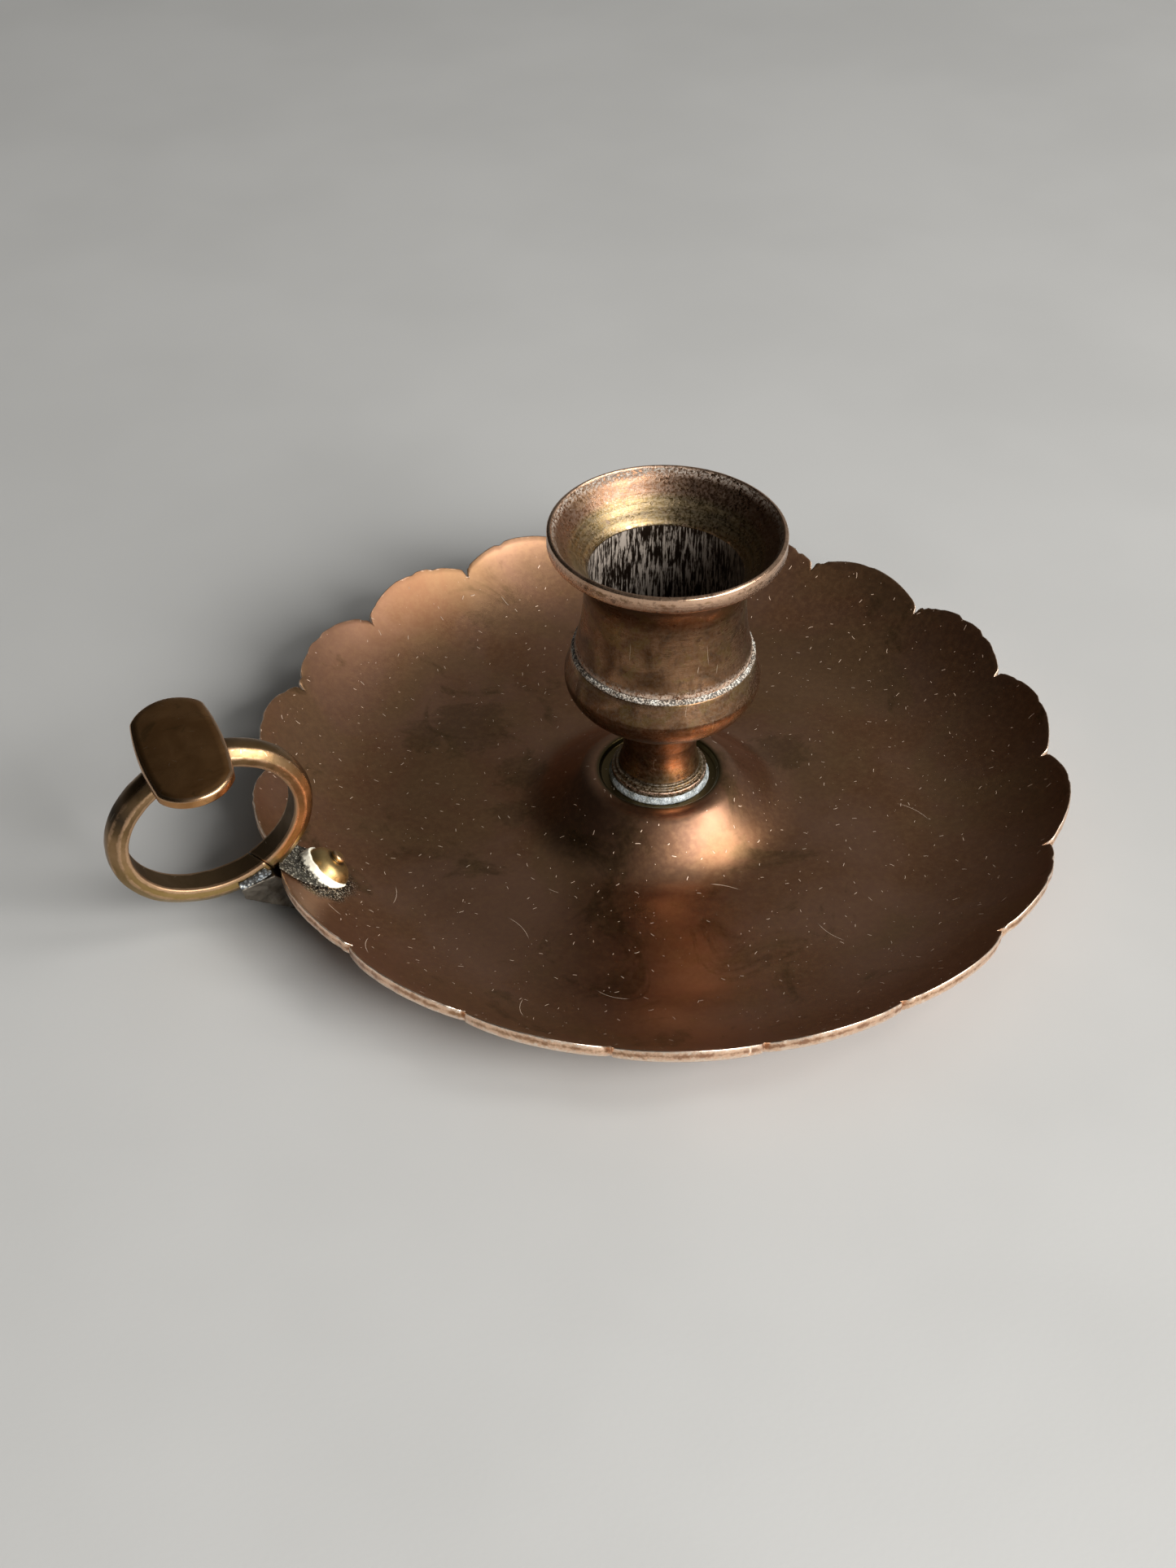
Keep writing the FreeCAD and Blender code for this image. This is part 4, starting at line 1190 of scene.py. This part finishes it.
def make_ring():
    """The bar bent to an oval, with its two ends meeting in a slanting seam."""
    section = ring_section()
    seam = math.atan2(-RISE.dot(SHORT), -RISE.dot(LONG)) % math.tau
    seam += math.radians(SEAM_TURN)
    reach = RING_HALF_LONG + RING_T / 2
    gap = SEAM_W / 2 / reach
    slant = math.tan(math.radians(SEAM_SLANT)) / reach
    steps = 220
    plate_turn = math.pi / 2 - math.radians(RING_DROP - PLATE_FALL)
    loops = []
    for i in range(steps + 1):
        share = i / steps
        loop = []
        for rise, across, edge, hollow in section:
            # the slant fades away from the seam in the first and last tenth
            fade = max(0.0, 1 - min(share, 1 - share) / 0.1)
            turn = seam + gap + (math.tau - 2 * gap) * share + slant * across * fade
            inner, away = oval(turn)
            place = inner + away * rise + ACROSS * across
            worn = noise.noise(place * 0.35) * 0.10 + noise.noise(place * 1.1) * 0.03
            place += (away * (rise / RING_T - 0.4) + ACROSS * (across / RING_W)) * worn
            near_plate = abs((turn - plate_turn + math.pi) % math.tau - math.pi) * reach
            under = max(0.0, 1 - abs(near_plate - 7.2) / 4.5)
            inner_face = 1.0 if rise < 0.35 else 0.0
            # painted shade: the bar is darkened near the thumb plate and all over its inner face
            under_shade = max(under if rise > RING_T * 0.45 else under * 0.3, 0.7 * inner_face)
            # painted reflection: the outer face of the ring's lower half is tinted gold as if
            # reflecting the brass pan
            gold = max(0.0, -away.z) * (1.0 if rise > 0.8 else 0.2)
            loop.append((place, edge, hollow, under_shade, gold))
        loops.append(loop)
    piece = loft("finger_ring_bar", loops, FINISHES["handle"], capped=True)
    settle(piece, "finger_ring")


def make_thumb_plate():
    """Round-ended plate with worn edges and a slightly domed top."""
    normal = tilted(90 - PLATE_FALL)
    along = tilted(-PLATE_FALL)
    top_of_ring = TOP_SIDE_CENTRE + normal * (RING_SIDE_R + RING_T)
    under = top_of_ring - normal * PLATE_LAND + along * PLATE_SHIFT
    half_w, half_l = PLATE_W / 2, (PLATE_L - PLATE_W) / 2
    around = 128

    def around_plate(inset, angle):
        """Point of the plate's outline, set in, and how it faces."""
        across = math.sin(angle)
        out = math.cos(angle)
        end = math.copysign(half_l, across) * min(1.0, abs(across) * 2.2)
        radius = max(0.0, half_w - inset)
        return out * radius, end + across * radius

    layers = []
    steps = 9
    for i in range(steps):
        inset = half_w * (1 - i / steps)
        share = 1 - inset / half_w
        layers.append((inset, PLATE_T - PLATE_DOME * share ** 2, 0.0))
    for i in range(7):
        turn = math.pi / 2 * i / 6
        layers.append((PLATE_TOP_EDGE_R * (1 - math.sin(turn)),
                       PLATE_T - PLATE_DOME - PLATE_TOP_EDGE_R * (1 - math.cos(turn)),
                       0.25 + 0.75 * math.sin(2 * turn)))
    for i in range(5):
        turn = math.pi / 2 * i / 4
        layers.append((PLATE_LOW_EDGE_R * (1 - math.cos(turn)), PLATE_LOW_EDGE_R * (1 - math.sin(turn)),
                       0.2 + 0.8 * math.sin(2 * turn)))
    for i in range(1, steps + 1):
        layers.append((PLATE_LOW_EDGE_R + (half_w - PLATE_LOW_EDGE_R) * i / steps, 0.0, 0.0))

    loops = []
    for inset, height, edge in layers:
        loop = []
        for k in range(around):
            out, across = around_plate(inset, math.tau * (k + 0.5) / around)
            place = under + along * out + ACROSS * across + normal * height
            wobble = noise.noise(place * 0.3) * 0.09
            place += normal * wobble * (height / PLATE_T)
            # painted shade: the plate's underside is darkened as if in shadow
            loop.append((place, edge, 0.0, 0.5 if height < 0.02 else 0.0, 0.0))
        loops.append(loop)
    # the innermost loops close up to a line, where their two sides are joined
    piece = loft("thumb_plate_blank", loops, FINISHES["plate"], capped=False)
    settle(piece, "thumb_plate")


def make_rivet():
    """Domed head with a peened nub above a cut line, on a plain shank."""
    foot_r = NOTCH_R - RIVET_INSET
    foot = outward(foot_r, wall_height(foot_r))
    slope = math.degrees(math.asin((foot_r - FLOOR_R) / WALL_R)) + RIVET_LEAN
    axis = Vector((math.sin(math.radians(slope)), 0.0, math.cos(math.radians(slope))))
    head = RIVET_HEAD_H
    points = outline(
        (0.0, -SHANK_L), (RIVET_R, -SHANK_L), (RIVET_R, -HEAD_UNDER), (RIVET_HEAD_R, -HEAD_RIM_LOW),
        (RIVET_HEAD_R + 0.22, -HEAD_RIM_HIGH), (RIVET_HEAD_R * 0.90, 1.0, -0.18),
        (NUB_R + 0.55, head - 0.25, -0.38), (NUB_R - 0.12, head - 0.18), (NUB_R, head + 0.05),
        (NUB_R, head + NUB_H - 0.3), (NUB_R * 0.6, head + NUB_H, -0.08), (0.0, head + NUB_H + 0.03))
    rows = dress(points, False, soften=2, coarse=0.35, bend=7.0)
    piece = turned_piece("peened_rivet", rows, False, FINISHES["rivet"], around=72, unevenness=0.25)
    upright = Vector((0, 0, 1)).rotation_difference(axis).to_matrix().to_4x4()
    piece.data.transform(Matrix.Translation(foot * MM) @ upright)
    settle(piece, "handle_rivet")
    return foot, axis


def drop_crumbs(form):
    """Delete loose islands too small to be part of a piece."""
    unseen = set(form.verts)
    while unseen:
        island, front = [], [unseen.pop()]
        while front:
            vert = front.pop()
            island.append(vert)
            for edge in vert.link_edges:
                other = edge.other_vert(vert)
                if other in unseen:
                    unseen.remove(other)
                    front.append(other)
        if len(island) < CRUMB_CORNERS:
            bmesh.ops.delete(form, geom=island, context="VERTS")


def remade(name, node, finish, voxel, smooth=4, lumps=0.05, lump_size=1.2):
    """Cast or melted piece: the CAD node's form, rounded over and made uneven."""
    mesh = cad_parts[node].data.copy()
    form = bmesh.new()
    form.from_mesh(mesh)
    bmesh.ops.remove_doubles(form, verts=form.verts, dist=0.000002)
    bmesh.ops.scale(form, vec=(1 / MM,) * 3, verts=form.verts)
    form.to_mesh(mesh)
    form.free()
    blank = bpy.data.objects.new(name, mesh)
    bpy.context.scene.collection.objects.link(blank)
    modifier = blank.modifiers.new("even", "REMESH")
    modifier.mode = "VOXEL"
    modifier.voxel_size = voxel
    graph = bpy.context.evaluated_depsgraph_get()
    solid = bpy.data.meshes.new_from_object(blank.evaluated_get(graph))
    bpy.data.objects.remove(blank)
    form = bmesh.new()
    form.from_mesh(solid)
    drop_crumbs(form)
    for _ in range(smooth):
        bmesh.ops.smooth_vert(form, verts=form.verts, factor=0.5, use_axis_x=True, use_axis_y=True,
                              use_axis_z=True)
    form.normal_update()
    moved = []
    for vert in form.verts:
        lump = noise.noise(vert.co / lump_size) + 0.5 * noise.noise(vert.co * 2.3 / lump_size)
        moved.append(vert.co + vert.normal * lump * lumps)
    for vert, place in zip(form.verts, moved):
        vert.co = place
    bmesh.ops.scale(form, vec=(MM,) * 3, verts=form.verts)
    solid.name = name
    form.to_mesh(solid)
    form.free()
    settle(finished(name, solid, finish), node)


# ------------------------------------------------------------------- build

make_pan()
make_bowl()
make_socket()
make_fillet("white_socket_line", "socket_solder", FINISHES["white residue"],
            [(SHOULDER_R - 0.05, SHOULDER_Z - LEDGE_H / 2 - 0.1),
             (SHOULDER_R + LEDGE_W, SHOULDER_Z - LEDGE_H),
             (SHOULDER_R + LEDGE_W * 0.9, SHOULDER_Z - LEDGE_H * 0.4),
             (SHOULDER_R - 0.02, SHOULDER_Z + 0.05)])
make_fillet("pale_foot_fillet", "stem_solder", FINISHES["pale solder"],
            [(FOOT_R - 0.05, SEAT_Z + 0.02), (FOOT_R + 0.46, SEAT_Z + 0.02),
             (FOOT_R + 0.42, SEAT_Z + 0.4), (FOOT_R - 0.02, SEAT_Z + 1.15)], roughness=0.07)
make_ring()
make_thumb_plate()
rivet_foot, rivet_axis = make_rivet()
remade("cast_bracket", "handle_bracket", FINISHES["bracket"],
       voxel=0.14, smooth=5, lumps=0.06)
remade("ring_joint_solder", "ring_solder", FINISHES["blue solder"],
       voxel=0.09, lumps=0.08)
remade("plate_joint_solder", "plate_solder", FINISHES["dark solder"], voxel=0.08)
remade("rivet_collar_solder", "rivet_solder", collar_finish(rivet_foot, rivet_axis),
       voxel=0.09, lumps=0.07)
remade("rim_patch_solder", "rim_solder", FINISHES["grey solder"],
       voxel=0.09, smooth=2, lump_size=0.8)
for node in ("stem_washer", "stem_nut"):
    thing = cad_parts[node]
    thing.data.materials.clear()
    thing.data.materials.append(FINISHES["fastener"])


# --------------------------------------------------------- studio and view

DAYLIGHT = (1.0, 0.985, 0.96)
CAMERA_PLACE = (-0.11062, -0.23673, 0.22771)
CAMERA_TURN = (49.528, -0.374, -22.288)
CAMERA_LENS = 49.83


def make_floor():
    """Plain pale table top."""
    net = Finish("pale table", metallic=0.0)
    cloud = net.fog(net.place, 60.0, 3.0)
    net.base = net.blend(net.span(cloud, 0.3, 0.7), (0.60, 0.60, 0.59),
                         (0.565, 0.565, 0.555))
    net.raise_by(net.fog(net.place, 0.8, 3.0), 0.01)
    material = net.done(0.55)
    half = 4.0
    mesh = bpy.data.meshes.new("floor")
    corners = [(-half, -half, 0), (half, -half, 0), (half, half, 0), (-half, half, 0)]
    mesh.from_pydata(corners, [], [(0, 1, 2, 3)])
    mesh.materials.append(material)
    floor = bpy.data.objects.new("floor", mesh)
    bpy.context.scene.collection.objects.link(floor)


def soft_light(name, azimuth, elevation, distance, width, height, power):
    """Rectangular soft box that looks at the middle of the piece."""
    turn, rise = math.radians(azimuth), math.radians(elevation)
    away = Vector((math.cos(turn) * math.cos(rise), math.sin(turn) * math.cos(rise), math.sin(rise)))
    data = bpy.data.lights.new(name, "AREA")
    data.shape = "RECTANGLE"
    data.size, data.size_y = width, height
    data.energy = power
    data.color = DAYLIGHT
    lamp = bpy.data.objects.new(name, data)
    lamp.location = away * distance
    lamp.rotation_euler = away.to_track_quat("Z", "Y").to_euler()
    bpy.context.scene.collection.objects.link(lamp)


def make_world():
    """Dim room, darkest on the side of the handle."""
    world = bpy.data.worlds.new("dim room")
    bpy.context.scene.world = world
    world.use_nodes = True
    net = Net(world.node_tree)
    net.tree.nodes.clear()
    way = net.add("ShaderNodeTexCoord").outputs["Generated"]
    lean = net.vectors("DOT_PRODUCT", way, (-0.94, 0.34, 0.0))
    level = net.span(lean, 0.7, -0.4)
    shade = net.blend(level, (0.010, 0.010, 0.009), (0.19, 0.188, 0.18))
    back = net.add("ShaderNodeBackground", {"Color": shade, "Strength": 1.0})
    net.add("ShaderNodeOutputWorld", {"Surface": back.outputs[0]})


def make_camera():
    data = bpy.data.cameras.new("camera")
    data.sensor_width = 36.0
    data.lens = CAMERA_LENS
    camera = bpy.data.objects.new("camera", data)
    camera.location = CAMERA_PLACE
    camera.rotation_euler = [math.radians(angle) for angle in CAMERA_TURN]
    bpy.context.scene.collection.objects.link(camera)
    bpy.context.scene.camera = camera


make_floor()
soft_light("window", -66.0, 30.0, 1.1, 0.8, 0.5, 18.6)
soft_light("side window", -26.0, 44.0, 1.5, 0.4, 0.75, 4.6)
make_world()
make_camera()
bpy.context.scene.view_settings.view_transform = "Standard"
